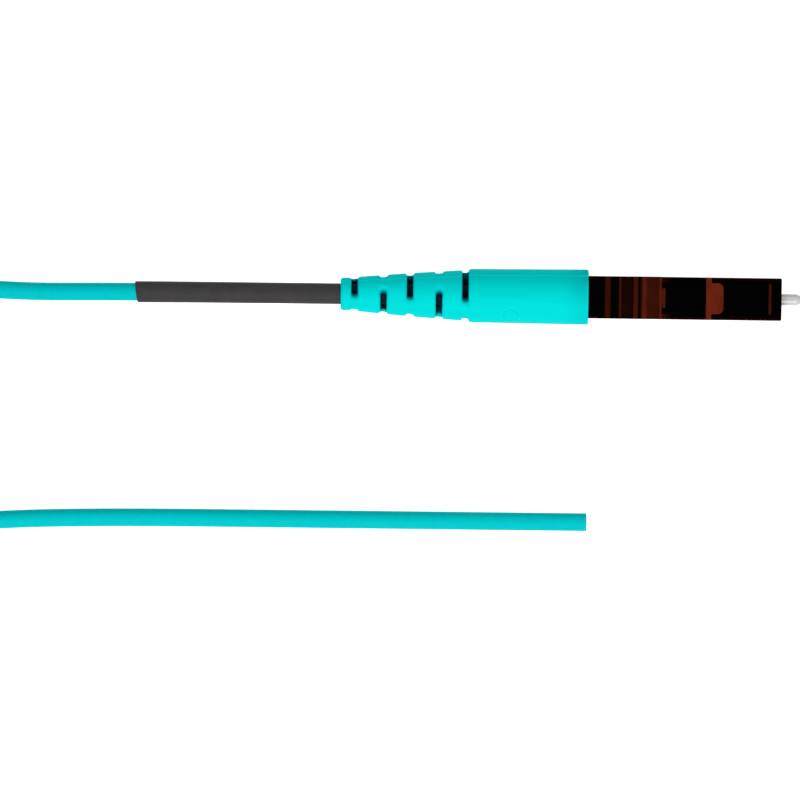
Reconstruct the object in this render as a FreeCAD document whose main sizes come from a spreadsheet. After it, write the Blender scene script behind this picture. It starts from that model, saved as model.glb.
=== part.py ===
import FreeCAD, Part

import math
import os
import re

import Sketcher

# A simplex LC fibre connector on the end of a 1.9 mm pigtail.
#
# Each piece is drawn in the plug's own frame: X runs along the ferrule's axis towards its tip and is 0 at
# the nose face, Z points up to the latch side, and the axis is at Y = 0, Z = 0. Lengths named "back" are
# measured behind the nose face. The pieces are then moved so that the origin lies under the middle of the
# connector, on the surface it rests on. The cord is drawn straight in that final frame.

Vector = FreeCAD.Vector

SIZES = {
    # how far a cut runs past the material, and how far a part of a piece runs into the rest of it
    "past_end": 1.0,
    "sunk": 0.1,
    # plug body, both halves
    "body_wide": 4.52,
    "front_long": 13.2,
    "rear_end_back": 20.6,
    "body_seam": 0.03,
    "long_edge": 0.18,
    "nose_edge": 0.1,
    # inside of the front half
    "nose_bore": 2.9,
    "nose_lip": 0.12,
    "nose_deep": 3.4,
    "seat_hole": 1.76,
    "hex_pocket": 2.6,
    "hex_bore": 2.5,
    "hex_end_back": 7.1,
    "spring_bore": 3.1,
    "spigot_wide": 3.9,
    "spigot_end_back": 16.2,
    # snap barbs on the spigot's sides, and their windows in the rear half
    "barb_back": 14.5,
    "barb_long": 1.2,
    "barb_high": 0.24,
    "barb_foot_high": 0.02,
    "barb_wide": 1.3,
    "window_gap": 0.08,
    # rear half
    "socket_wide": 3.98,
    "socket_end_back": 17.0,
    "stem_hole": 2.56,
    # latch: root, arm, tongue, wings and tail
    "latch_pivot_back": 1.6,
    "latch_pivot_high": 1.99,
    "latch_root_round": 0.27,
    "root_gap": 0.04,
    "latch_wide": 3.3,
    "latch_side_gap": 0.1,
    "relief_front_floor": 1.63,
    "relief_rear_floor": 1.94,
    "relief_end_back": 9.4,
    "relief_end_lean": 0.4,
    "arm_root_top": 2.26,
    "arm_middle_back": 6.3,
    "arm_middle_top": 3.05,
    "arm_middle_under": 2.47,
    "arm_wing_top": 3.36,
    "arm_wing_under": 2.7,
    "tongue_front_back": 6.22,
    "tongue_wide": 3.3,
    "tongue_lip_long": 0.35,
    "tongue_lip_high": 0.12,
    "tongue_corner": 0.65,
    "wing_front_back": 7.5,
    "wing_rear_back": 8.1,
    "wing_under": 3.0,
    "wing_top": 3.58,
    "wing_lip_long": 0.1,
    "wing_lip_high": 0.06,
    "tail_bend_top_back": 11.6,
    "tail_bend_top": 4.72,
    "tail_bend_under_back": 11.84,
    "tail_bend_under": 4.14,
    "tail_end_back": 13.2,
    "tail_end_top": 5.04,
    "tail_end_under": 4.44,
    "tail_round_top": 4.4,
    "tail_round_under": 4.0,
    "dish_front_back": 1.75,
    "dish_rear_back": 5.05,
    "dish_wide": 2.82,
    "dish_deep": 0.12,
    # trigger: root, arm, thumb ribs, block and tab
    "trigger_pivot_back": 19.3,
    "trigger_pivot_high": 1.93,
    "trigger_root_round": 0.33,
    "trigger_slope": 37.0,
    "swing_gap": 0.06,
    "swing_front_back": 17.4,
    "trigger_wide": 4.5,
    "block_front_back": 12.85,
    "block_rear_back": 15.0,
    "block_under": 5.14,
    "block_top": 5.9,
    "tab_front_back": 12.45,
    "tab_wide": 2.05,
    "tab_top": 5.62,
    # ferrule and fibre
    "ferrule_wide": 1.249,
    "ferrule_reach": 2.05,
    "ferrule_long": 6.5,
    "ferrule_tip": 0.86,
    "tip_bevel": 0.4,
    "fibre_bore": 0.135,
    "stub_wide": 0.94,
    "funnel_wide": 0.6,
    "fibre_wide": 0.125,
    "buffer_wide": 0.9,
    "buffer_front_back": 5.2,
    "buffer_rear_back": 26.7,
    # ferrule flange and the tube behind it
    "flange_front_back": 3.0,
    "neck_wide": 1.66,
    "neck_edge": 0.1,
    "head_front_back": 4.2,
    "head_rear_back": 6.2,
    "head_across_flats": 2.5,
    "tail_wide": 1.7,
    "tail_rear_back": 8.2,
    "guide_outer": 1.4,
    "guide_inner": 0.96,
    "guide_front_back": 6.4,
    "guide_rear_back": 15.2,
    "press_gap": 0.01,
    # spring
    "spring_wire": 0.3,
    "spring_mean": 2.24,
    "spring_turns": 6.0,
    # backpost, yarn and crimp sleeve
    "post_front_back": 13.4,
    "post_nose_wide": 3.04,
    "post_flange_wide": 3.8,
    "post_flange_front_back": 16.25,
    "post_flange_rear_back": 16.95,
    "stem_wide": 2.44,
    "stem_rear_back": 27.2,
    "guide_seat": 1.52,
    "guide_seat_back": 16.8,
    "stem_bore": 1.1,
    "grip_deep": 0.08,
    "grip_long": 0.8,
    "grip_pitch": 2.4,
    "grip_first_back": 22.2,
    "crimp_front_back": 20.7,
    "crimp_body_back": 27.4,
    "crimp_neck_back": 28.0,
    "crimp_rear_back": 29.8,
    "crimp_outer": 3.5,
    "crimp_inner": 2.94,
    "crimp_tail": 2.5,
    "yarn_front_back": 20.9,
    "yarn_inner": 2.48,
    "yarn_outer": 2.9,
    # boot
    "boot_rear_back": 47.1,
    "boot_step_back": 33.4,
    "boot_front_wide": 5.91,
    "boot_step_wide": 5.72,
    "boot_step_edge": 0.11,
    "boot_bend_back": 39.75,
    "boot_bend_wide": 4.64,
    "boot_cone_end_wide": 3.56,
    "collar_front_back": 46.1,
    "collar_wide": 3.5,
    "boot_edge": 0.18,
    "grip_bore": 3.6,
    "hollow_middle_back": 38.2,
    "hollow_middle_wide": 3.16,
    "hollow_rear_back": 41.1,
    "hollow_rear_wide": 2.72,
    "collar_bore": 2.38,
    # boot slots
    "slot_first_back": 33.75,
    "slot_pitch": 2.965,
    "slot_inner": 1.0,
    "slot_wide": 0.64,
    "slot_sweep": 106.0,
    "slot_stagger": 0.14,
    "slot_turn": 45.0,
    # cord, sleeve, coil and tie
    "cord_wide": 1.9,
    "sleeve_wide": 2.26,
    "sleeve_bore": 1.94,
    "sleeve_front_back": 30.1,
    "sleeve_rear_back": 68.9,
    "sleeve_slant": 7.0,
    "sleeve_room": 12.0,
    "coil_mean": 21.85,
    "coil_band": 7.6,
    "coil_away": 79.4,
    "coil_aside": 12.2,
    "tie_thick": 0.3,
    "tie_arc": 18.0,
    "tie_gap": 0.05,
}

# The thumb ribs on the trigger's slope: where each land starts and ends behind the nose face.
THUMB_RIBS = ((15.35, 15.85), (16.85, 17.4), (18.3, 18.9))

# Rows of slots along the boot, and grooves round the stem that the crimp grips.
SLOT_ROWS = 5
GRIPS = 2

# Points of the cord's route in the final frame, apart from the coil, chosen by hand.
UPPER_ROUTE = (
    (-5.375, 0.0, 2.955),
    (-17.0, 0.02, 2.955),
    (-33.0, 0.0, 2.955),
    (-47.5, -0.05, 1.3),
    (-61.0, -0.25, 0.95),
    (-73.8, 1.2, 1.15),
)
LOWER_ROUTE = (
    (-73.8, -25.8, 2.8),
    (-66.0, -24.92, 1.25),
    (-52.5, -24.16, 0.95),
    (-25.0, -24.11, 0.95),
    (2.1, -24.06, 0.95),
)

document = FreeCAD.newDocument("LcPigtail")
sheet = document.addObject("Spreadsheet::Sheet", "Sizes")
for row, (alias, value) in enumerate(SIZES.items(), start=1):
    sheet.set(f"A{row}", alias)
    sheet.set(f"B{row}", str(value))
    sheet.setAlias(f"B{row}", alias)
document.recompute()


def bound(formula):
    """Turn each name of a sheet cell in a formula into a reference to that cell."""

    def referred(word):
        return f"Sizes.{word.group()}" if word.group() in SIZES else word.group()

    return re.sub(r"[a-z_]+", referred, formula)


def size(formula):
    """The number that a formula gives with the sheet's present values."""
    value = sheet.evalExpression(bound(formula))
    return float(getattr(value, "Value", value))


def bind(item, **formulas):
    """Bind properties of a document object to formulas of the sheet."""
    for name, formula in formulas.items():
        item.setExpression(name, bound(formula))


SHIFT_X = "(boot_rear_back - ferrule_reach) / 2"
SHIFT_Z = "boot_front_wide / 2"


def new_body(label, in_plug_frame=True):
    """A body for one piece. Pieces of the plug are moved together to the final frame."""
    body = document.addObject("PartDesign::Body", label)
    body.Label = label
    if in_plug_frame:
        bind(body, **{"Placement.Base.x": SHIFT_X, "Placement.Base.z": SHIFT_Z})
    return body


def new_sketch(body, plane, offset=None, turn=None):
    """A sketch on one of the body's own planes, moved out by a formula or turned about its own X axis."""
    sketch = body.newObject("Sketcher::SketchObject", "Sketch")
    origin_plane = next(item for item in body.Origin.OriginFeatures if item.Role == plane)
    sketch.AttachmentSupport = [(origin_plane, "")]
    sketch.MapMode = "FlatFace"
    if offset:
        bind(sketch, **{"AttachmentOffset.Base.z": offset})
    if turn:
        sketch.AttachmentOffset = FreeCAD.Placement(Vector(), FreeCAD.Rotation(Vector(1, 0, 0), 1))
        bind(sketch, **{"AttachmentOffset.Rotation.Angle": turn})
    return sketch


def place_point(sketch, geometry, position, formulas):
    """Hold one point of a sketch at coordinates that are formulas."""
    for kind, formula in zip(("DistanceX", "DistanceY"), formulas):
        number = sketch.addConstraint(Sketcher.Constraint(kind, -1, 1, geometry, position, size(formula)))
        sketch.setExpression(f"Constraints[{number}]", bound(formula))


def arc_between(start, end, radius):
    """The shorter arc from start to end: a positive radius turns left, a negative one turns right."""
    chord = end - start
    left = Vector(-chord.y, chord.x, 0).normalize()
    height = math.sqrt(radius * radius - chord.Length * chord.Length / 4)
    centre = (start + end) / 2 + left * math.copysign(height, radius)
    from_point, to_point = (start, end) if radius > 0 else (end, start)
    angles = [math.atan2(point.y - centre.y, point.x - centre.x) for point in (from_point, to_point)]
    circle = Part.Circle(centre, Vector(0, 0, 1), abs(radius))
    return Part.ArcOfCircle(circle, angles[0], angles[1])


def draw_outline(sketch, corners):
    """A closed outline. A corner is (x, y), or (x, y, radius) where an arc leads on to the next corner."""
    points = [Vector(size(corner[0]), size(corner[1]), 0) for corner in corners]
    first = sketch.GeometryCount
    ends = []
    for index, corner in enumerate(corners):
        start = points[index]
        end = points[(index + 1) % len(points)]
        if len(corner) == 2:
            sketch.addGeometry(Part.LineSegment(start, end))
            ends.append((1, 2))
        else:
            sketch.addGeometry(arc_between(start, end, size(corner[2])))
            ends.append((1, 2) if size(corner[2]) > 0 else (2, 1))
    for index, corner in enumerate(corners):
        line = first + index
        follower = (index + 1) % len(corners)
        sketch.addConstraint(
            Sketcher.Constraint("Coincident", line, ends[index][1], first + follower, ends[follower][0])
        )
        place_point(sketch, line, ends[index][0], corner[:2])
        if len(corner) == 3:
            number = sketch.addConstraint(Sketcher.Constraint("Radius", line, abs(size(corner[2]))))
            sketch.setExpression(f"Constraints[{number}]", bound(f"abs({corner[2]})"))


def draw_circle(sketch, radius, centre=("0", "0")):
    """A circle whose radius and centre are formulas."""
    middle = Vector(size(centre[0]), size(centre[1]), 0)
    circle = sketch.addGeometry(Part.Circle(middle, Vector(0, 0, 1), size(radius)))
    number = sketch.addConstraint(Sketcher.Constraint("Radius", circle, size(radius)))
    sketch.setExpression(f"Constraints[{number}]", bound(radius))
    if centre == ("0", "0"):
        sketch.addConstraint(Sketcher.Constraint("Coincident", circle, 3, -1, 1))
    else:
        place_point(sketch, circle, 3, centre)


def box_corners(left, right, low, high):
    """The four corners of an upright rectangle."""
    return [(left, low), (right, low), (right, high), (left, high)]


def turned(body, corners):
    """Turn an outline, drawn above the axis, about the plug's axis."""
    sketch = new_sketch(body, "XZ_Plane")
    draw_outline(sketch, corners)
    feature = body.newObject("PartDesign::Revolution", "Turned")
    feature.Profile = sketch
    feature.ReferenceAxis = (sketch, ["H_Axis"])
    feature.Angle = 360
    return feature


def bored(body, corners):
    """Cut a turned outline out of a body."""
    sketch = new_sketch(body, "XZ_Plane")
    draw_outline(sketch, corners)
    feature = body.newObject("PartDesign::Groove", "Bored")
    feature.Profile = sketch
    feature.ReferenceAxis = (sketch, ["H_Axis"])
    feature.Angle = 360
    return feature


def prism(body, plane, draw, length, kind="PartDesign::Pad", middle=False, reverse=False, offset=None):
    """Pad or pocket a sketch, to both sides of its plane or to one."""
    sketch = new_sketch(body, plane, offset)
    draw(sketch)
    feature = body.newObject(kind, "Prism")
    feature.Profile = sketch
    if middle:
        feature.SideType = "Symmetric"
    feature.Reversed = reverse
    bind(feature, Length=length)
    return feature


def side_prism(body, corners, width, kind="PartDesign::Pad"):
    """A side profile carried equally to both sides of the middle plane."""
    return prism(body, "XZ_Plane", lambda sketch: draw_outline(sketch, corners), width, kind, middle=True)


def cross_prism(body, draw, front_back, rear_back, kind="PartDesign::Pad"):
    """A cross-section carried backwards from one distance behind the nose to another."""
    length = f"({rear_back}) - ({front_back})"
    away = kind == "PartDesign::Pad"
    return prism(body, "YZ_Plane", draw, length, kind, reverse=away, offset=f"-({front_back})")


def square(width):
    """Draws a square of that width round the axis."""
    half = f"({width}) / 2"
    return lambda sketch: draw_outline(sketch, box_corners(f"-{half}", half, f"-{half}", half))


def hexagon(across_flats):
    """Draws a hexagon round the axis, with a flat above and below."""
    half = f"{across_flats} / 2"
    side = f"{across_flats} / sqrt(3)"
    corners = [
        (side, "0"),
        (f"{side} / 2", half),
        (f"-{side} / 2", half),
        (f"-{side}", "0"),
        (f"-{side} / 2", f"-{half}"),
        (f"{side} / 2", f"-{half}"),
    ]
    return lambda sketch: draw_outline(sketch, corners)


def edges_where(shape, chosen):
    """Names of the edges of a shape whose ends, as two points, pass a test."""
    names = []
    for number, edge in enumerate(shape.Edges, start=1):
        ends = [vertex.Point for vertex in edge.Vertexes]
        if len(ends) == 2 and chosen(ends[0], ends[1]):
            names.append(f"Edge{number}")
    return names


def eased(body, kind, chosen, amount):
    """Fillet or chamfer the edges of the body's last feature that pass a test."""
    document.recompute()
    base = body.Tip
    names = edges_where(base.Shape, chosen)
    if not names:
        raise RuntimeError(f"{body.Label}: no edge found to ease")
    feature = body.newObject(kind, "Eased")
    feature.Base = (base, names)
    bind(feature, **{"Radius" if kind == "PartDesign::Fillet" else "Size": amount})
    document.recompute()
    return feature


def near(value, target):
    """Whether two lengths are the same to a hundredth of a millimetre."""
    return abs(value - target) < 0.01


def runs_along_body(width, front_back, rear_back):
    """Test for the four long edges of a square body between two stations."""
    half = size(width) / 2
    span = size(rear_back) - size(front_back)

    def chosen(first, last):
        at_corner = near(abs(first.y), half) and near(abs(first.z), half)
        straight = near(first.y, last.y) and near(first.z, last.z)
        return at_corner and straight and abs(first.x - last.x) > 0.2 * span

    return chosen


def make_ferrule():
    """The full width ends at the flange, which holds a thinner stub with a funnel for the fibre."""
    body = new_body("ferrule")
    rear = "-(ferrule_long - ferrule_reach)"
    turned(body, [
        ("ferrule_reach", "fibre_bore / 2"),
        ("ferrule_reach", "ferrule_tip / 2"),
        ("ferrule_reach - tip_bevel", "ferrule_wide / 2"),
        ("-flange_front_back", "ferrule_wide / 2"),
        ("-flange_front_back", "stub_wide / 2"),
        (rear, "stub_wide / 2"),
        (rear, "funnel_wide / 2"),
        (f"{rear} + funnel_wide / 2", "fibre_bore / 2"),
    ])


def make_rod(label, front, rear, width):
    """A plain round rod on the plug's axis."""
    body = new_body(label)
    turned(body, [(front, "0"), (front, f"{width} / 2"), (rear, f"{width} / 2"), (rear, "0")])


def make_ferrule_flange():
    body = new_body("ferrule_flange")
    front = "(-flange_front_back - press_gap)"
    turned(body, [
        (front, "stub_wide / 2 + press_gap"),
        (front, "neck_wide / 2 - neck_edge"),
        (f"{front} - neck_edge", "neck_wide / 2"),
        ("-head_rear_back", "neck_wide / 2"),
        ("-head_rear_back", "tail_wide / 2"),
        ("-tail_rear_back", "tail_wide / 2"),
        ("-tail_rear_back", "guide_outer / 2 + press_gap"),
        ("-guide_front_back", "guide_outer / 2 + press_gap"),
        ("-guide_front_back", "buffer_wide / 2 + press_gap"),
        ("ferrule_reach - ferrule_long - press_gap", "buffer_wide / 2 + press_gap"),
        ("ferrule_reach - ferrule_long - press_gap", "stub_wide / 2 + press_gap"),
    ])
    ring = new_sketch(body, "YZ_Plane", "-head_front_back")
    hexagon("head_across_flats")(ring)
    draw_circle(ring, "neck_wide / 2 - neck_edge")
    head = body.newObject("PartDesign::Pad", "Head")
    head.Profile = ring
    head.Reversed = True
    bind(head, Length="head_rear_back - head_front_back")


def make_guide_tube():
    body = new_body("guide_tube")
    turned(body, [
        ("-guide_front_back", "guide_inner / 2"),
        ("-guide_front_back", "guide_outer / 2"),
        ("-guide_rear_back", "guide_outer / 2"),
        ("-guide_rear_back", "guide_inner / 2"),
    ])


def make_spring():
    """A helix between the flange's head and the backpost, of wire drawn with four flats."""
    body = new_body("spring")
    sketch = new_sketch(body, "XZ_Plane")
    inner = "(spring_mean - spring_wire) / 2"
    draw_outline(sketch, box_corners(
        "-post_front_back", "-post_front_back + spring_wire", inner, f"{inner} + spring_wire"
    ))
    coils = body.newObject("PartDesign::AdditiveHelix", "Coils")
    coils.Profile = sketch
    coils.ReferenceAxis = (sketch, ["H_Axis"])
    coils.Mode = "height-turns-angle"
    bind(coils, Height="post_front_back - head_rear_back - spring_wire", Turns="spring_turns")


def make_plug_housing():
    body = new_body("plug_housing")
    cross_prism(body, square("body_wide"), "0", "front_long")
    eased(body, "PartDesign::Chamfer", runs_along_body("body_wide", "0", "front_long"), "long_edge")

    def round_the_nose(first, last):
        return near(first.x, 0) and near(last.x, 0)

    eased(body, "PartDesign::Chamfer", round_the_nose, "nose_edge")
    cross_prism(body, square("spigot_wide"), "front_long", "spigot_end_back")
    bored(body, [
        ("past_end", "0"),
        ("past_end", "nose_bore / 2 + nose_lip"),
        ("0", "nose_bore / 2 + nose_lip"),
        ("-nose_lip", "nose_bore / 2"),
        ("-nose_deep", "nose_bore / 2"),
        ("-nose_deep", "seat_hole / 2"),
        ("-head_front_back", "seat_hole / 2"),
        ("-head_front_back", "hex_bore / 2"),
        ("-hex_end_back", "hex_bore / 2"),
        ("-hex_end_back", "spring_bore / 2"),
        ("-spigot_end_back - past_end", "spring_bore / 2"),
        ("-spigot_end_back - past_end", "0"),
    ])
    cross_prism(body, hexagon("hex_pocket"), "head_front_back", "hex_end_back", "PartDesign::Pocket")
    # the trough under the latch, its slanting floor and the round seat of the latch's root
    side_prism(body, [
        ("-latch_pivot_back", "body_wide"),
        ("-latch_pivot_back", "relief_front_floor"),
        ("-relief_end_back", "relief_rear_floor"),
        ("-relief_end_back - relief_end_lean", "body_wide"),
    ], "latch_wide + 2 * latch_side_gap", "PartDesign::Pocket")
    prism(
        body,
        "XZ_Plane",
        lambda sketch: draw_circle(
            sketch, "latch_root_round + root_gap", ("-latch_pivot_back", "latch_pivot_high")
        ),
        "latch_wide + 2 * latch_side_gap",
        "PartDesign::Pocket",
        middle=True,
    )
    # the two barbs that snap into the rear half's windows
    side = "spigot_wide / 2"
    for sign in ("", "-"):
        prism(
            body,
            "XY_Plane",
            lambda sketch: draw_outline(sketch, [
                ("-barb_back", f"{sign}({side} - sunk)"),
                ("-barb_back", f"{sign}({side} + barb_high)"),
                ("-barb_back - barb_long", f"{sign}({side} + barb_foot_high)"),
                ("-barb_back - barb_long", f"{sign}({side} - sunk)"),
            ]),
            "barb_wide",
            middle=True,
        )


def make_rear_housing():
    body = new_body("rear_housing")
    front = "front_long + body_seam"
    cross_prism(body, square("body_wide"), front, "rear_end_back")
    eased(body, "PartDesign::Chamfer", runs_along_body("body_wide", front, "rear_end_back"), "long_edge")
    cross_prism(body, square("socket_wide"), front, "socket_end_back", "PartDesign::Pocket")
    bored(body, [
        ("-socket_end_back + past_end", "0"),
        ("-socket_end_back + past_end", "stem_hole / 2"),
        ("-rear_end_back - past_end", "stem_hole / 2"),
        ("-rear_end_back - past_end", "0"),
    ])
    # windows for the front half's barbs
    prism(
        body,
        "XZ_Plane",
        lambda sketch: draw_outline(sketch, box_corners(
            "-barb_back - barb_long - window_gap",
            "-barb_back + window_gap",
            "-barb_wide / 2 - window_gap",
            "barb_wide / 2 + window_gap",
        )),
        "2 * body_wide",
        "PartDesign::Pocket",
        middle=True,
    )
    # room for the trigger's arm to swing down, and the round seat of its root
    foot_x = "-trigger_pivot_back"
    side_prism(body, [
        (foot_x, "body_wide"),
        (foot_x, "trigger_pivot_high - trigger_root_round - root_gap - swing_gap"),
        ("-swing_front_back", "body_wide / 2"),
        ("-swing_front_back", "body_wide"),
    ], "2 * body_wide", "PartDesign::Pocket")
    prism(
        body,
        "XZ_Plane",
        lambda sketch: draw_circle(sketch, "trigger_root_round + root_gap", (foot_x, "trigger_pivot_high")),
        "2 * body_wide",
        "PartDesign::Pocket",
        middle=True,
    )


def make_latch_arm():
    body = new_body("latch_arm")
    prism(
        body,
        "XZ_Plane",
        lambda sketch: draw_circle(sketch, "latch_root_round", ("-latch_pivot_back", "latch_pivot_high")),
        "latch_wide",
        middle=True,
    )
    # the arm rises gently to the wings, then steeply, and its tail levels out under the trigger
    root_x = "-latch_pivot_back"
    side_prism(body, [
        (root_x, "arm_root_top"),
        ("-arm_middle_back", "arm_middle_top"),
        ("-wing_rear_back", "arm_wing_top"),
        ("-tail_bend_top_back", "tail_bend_top", "-tail_round_top"),
        ("-tail_end_back", "tail_end_top"),
        ("-tail_end_back", "tail_end_under", "tail_round_under"),
        ("-tail_bend_under_back", "tail_bend_under"),
        ("-wing_rear_back", "arm_wing_under"),
        ("-arm_middle_back", "arm_middle_under"),
        (root_x, "latch_pivot_high - latch_root_round"),
    ], "latch_wide")
    # tongue: a raised pad with a rounded nose, seen from above
    side_prism(body, [
        ("-tongue_front_back", "arm_middle_top - sunk"),
        ("-tongue_front_back", "wing_top - tongue_lip_high"),
        ("-tongue_front_back - tongue_lip_long", "wing_top"),
        ("-wing_rear_back", "wing_top"),
        ("-wing_rear_back", "arm_wing_under + sunk"),
    ], "tongue_wide")

    def front_corners(first, last):
        upright = near(first.y, last.y) and abs(first.z - last.z) > size("tongue_lip_high")
        return upright and near(first.x, -size("tongue_front_back")) and near(last.x, first.x)

    eased(body, "PartDesign::Fillet", front_corners, "tongue_corner")
    side_prism(body, [
        ("-wing_front_back", "wing_under"),
        ("-wing_front_back", "wing_top - wing_lip_high"),
        ("-wing_front_back - wing_lip_long", "wing_top"),
        ("-wing_rear_back", "wing_top"),
        ("-wing_rear_back", "wing_under"),
    ], "trigger_wide")
    # the shallow dish in the arm behind its root follows the arm's slope
    slope = "(arm_middle_top - arm_root_top) / (arm_middle_back - latch_pivot_back)"
    floor = [
        (f"-{back}", f"arm_root_top + ({back} - latch_pivot_back) * {slope} - dish_deep")
        for back in ("dish_front_back", "dish_rear_back")
    ]
    above = [("-dish_rear_back", "wing_top"), ("-dish_front_back", "wing_top")]
    side_prism(body, floor + above, "dish_wide", "PartDesign::Pocket")


def make_trigger_arm():
    body = new_body("trigger_arm")
    prism(
        body,
        "XZ_Plane",
        lambda sketch: draw_circle(
            sketch, "trigger_root_round", ("-trigger_pivot_back", "trigger_pivot_high")
        ),
        "trigger_wide",
        middle=True,
    )
    rise = "tan(trigger_slope)"
    root_x = "-trigger_pivot_back"
    top_x = f"({root_x} - trigger_root_round * sin(trigger_slope))"
    top_z = "(trigger_pivot_high + trigger_root_round * cos(trigger_slope))"
    under_x = f"({root_x} + trigger_root_round * sin(trigger_slope))"
    under_z = "(trigger_pivot_high - trigger_root_round * cos(trigger_slope))"

    def slope_height(back):
        """Height of the arm's upper face at a distance behind the nose."""
        return f"({top_z} + (-({back}) - {top_x}) * {rise})"

    side_prism(body, [
        (top_x, top_z),
        (under_x, under_z),
        (f"{under_x} + (block_under - {under_z}) / {rise}", "block_under"),
        ("-block_front_back", "block_under"),
        ("-block_front_back", "block_top"),
        ("-block_rear_back", "block_top"),
        ("-block_rear_back", slope_height("block_rear_back")),
    ], "trigger_wide")
    for front_back, rear_back in THUMB_RIBS:
        land = slope_height(str(front_back))
        side_prism(body, [
            (f"-{front_back}", land),
            (f"-{rear_back}", land),
            (f"-{rear_back}", slope_height(f"{rear_back} + sunk")),
            (f"-{front_back}", slope_height(f"{front_back} + sunk")),
        ], "trigger_wide")
    side_prism(body, box_corners(
        "-block_front_back - sunk", "-tab_front_back", "block_under", "tab_top"
    ), "tab_wide")


def make_backpost():
    body = new_body("backpost")
    turned(body, [
        ("-post_front_back", "guide_seat / 2"),
        ("-post_front_back", "post_nose_wide / 2"),
        ("-post_flange_front_back", "post_nose_wide / 2"),
        ("-post_flange_front_back", "post_flange_wide / 2"),
        ("-post_flange_rear_back", "post_flange_wide / 2"),
        ("-post_flange_rear_back", "stem_wide / 2"),
        ("-stem_rear_back", "stem_wide / 2"),
        ("-stem_rear_back", "stem_bore / 2"),
        ("-guide_seat_back", "stem_bore / 2"),
        ("-guide_seat_back", "guide_seat / 2"),
    ])
    # grooves that the yarn is pressed into
    groove = bored(body, box_corners(
        "-grip_first_back - grip_long",
        "-grip_first_back",
        "stem_wide / 2 - grip_deep",
        "stem_wide / 2 + grip_deep",
    ))
    grips = body.newObject("PartDesign::LinearPattern", "Grips")
    grips.Originals = [groove]
    x_axis = next(item for item in body.Origin.OriginFeatures if item.Role == "X_Axis")
    grips.Direction = (x_axis, [""])
    grips.Reversed = True
    grips.Occurrences = GRIPS
    bind(grips, Length=f"{GRIPS - 1} * grip_pitch")
    body.Tip = grips


def make_aramid_yarn():
    body = new_body("aramid_yarn")
    turned(body, [
        ("-yarn_front_back", "yarn_inner / 2"),
        ("-yarn_front_back", "yarn_outer / 2"),
        ("-stem_rear_back", "yarn_outer / 2"),
        ("-stem_rear_back", "yarn_inner / 2"),
    ])


def make_crimp_sleeve():
    body = new_body("crimp_sleeve")
    turned(body, [
        ("-crimp_front_back", "crimp_inner / 2"),
        ("-crimp_front_back", "crimp_outer / 2"),
        ("-crimp_body_back", "crimp_outer / 2"),
        ("-crimp_neck_back", "crimp_tail / 2"),
        ("-crimp_rear_back", "crimp_tail / 2"),
        ("-crimp_rear_back", "cord_wide / 2 + press_gap"),
        ("-crimp_body_back", "cord_wide / 2 + press_gap"),
        ("-crimp_body_back", "crimp_inner / 2"),
    ])


def cut_slot(body, station, turn):
    """Cut a pair of slots through the boot's wall, on opposite sides, each with a round end both ways."""
    half = "slot_wide / 2"
    sector = new_sketch(body, "XZ_Plane", turn=turn)
    draw_outline(sector, box_corners(
        f"{station} - {half}", f"{station} + {half}", "slot_inner", "boot_front_wide / 2"
    ))
    middle = body.newObject("PartDesign::Groove", "Slot")
    middle.Profile = sector
    middle.ReferenceAxis = (sector, ["H_Axis"])
    middle.Midplane = True
    bind(middle, Angle="slot_sweep")
    cuts = [middle]
    for sign in ("+", "-"):
        profile = new_sketch(body, "XZ_Plane", turn=f"{turn} {sign} slot_sweep / 2")
        draw_outline(profile, box_corners(
            station, f"{station} + {half}", "slot_inner", "boot_front_wide / 2"
        ))
        end = body.newObject("PartDesign::Groove", "SlotEnd")
        end.Profile = profile
        end.ReferenceAxis = (profile, ["Edge4"])
        end.Angle = 360
        cuts.append(end)
    x_axis = next(item for item in body.Origin.OriginFeatures if item.Role == "X_Axis")
    pair = body.newObject("PartDesign::PolarPattern", "FarSide")
    pair.Originals = cuts
    pair.Axis = (x_axis, [""])
    pair.Angle = 360
    pair.Occurrences = 2
    body.Tip = pair


def make_boot():
    body = new_body("boot")
    turned(body, [
        ("-rear_end_back", "grip_bore / 2"),
        ("-rear_end_back", "boot_front_wide / 2 - boot_edge"),
        ("-rear_end_back - boot_edge", "boot_front_wide / 2"),
        ("-boot_step_back + boot_step_edge", "boot_step_wide / 2"),
        ("-boot_step_back", "boot_step_wide / 2 - boot_step_edge"),
        ("-boot_bend_back", "boot_bend_wide / 2"),
        ("-collar_front_back", "boot_cone_end_wide / 2"),
        ("-collar_front_back", "collar_wide / 2"),
        ("-boot_rear_back", "collar_wide / 2"),
        ("-boot_rear_back", "collar_bore / 2"),
        ("-collar_front_back", "collar_bore / 2"),
        ("-collar_front_back", "hollow_rear_wide / 2"),
        ("-hollow_rear_back", "hollow_rear_wide / 2"),
        ("-hollow_rear_back", "hollow_middle_wide / 2"),
        ("-hollow_middle_back", "hollow_middle_wide / 2"),
        ("-hollow_middle_back", "grip_bore / 2"),
    ])
    # the rows of slots look to two sides in turn, and every second row stands a little further forward
    for row in range(SLOT_ROWS):
        back = f"slot_first_back + {row} * slot_pitch"
        if row % 2 == 0:
            cut_slot(body, f"-({back})", "-slot_turn")
        else:
            cut_slot(body, f"-({back} - slot_stagger)", "(90 - slot_turn)")


def coil_body(label):
    """A body whose own upright axis is the coil's."""
    body = new_body(label, in_plug_frame=False)
    bind(body, **{"Placement.Base.x": "-coil_away", "Placement.Base.y": "-coil_aside"})
    return body


def coil_section(body, around, low, high):
    """The section of the wound cord's band, made larger by a gap or thickness on each side."""
    section = new_sketch(body, "XZ_Plane")
    middle = "coil_mean / 2"
    half = f"(coil_band / 2 + {around})"
    draw_outline(section, box_corners(f"-{middle} - {half}", f"-{middle} + {half}", low, high))
    return section


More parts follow.
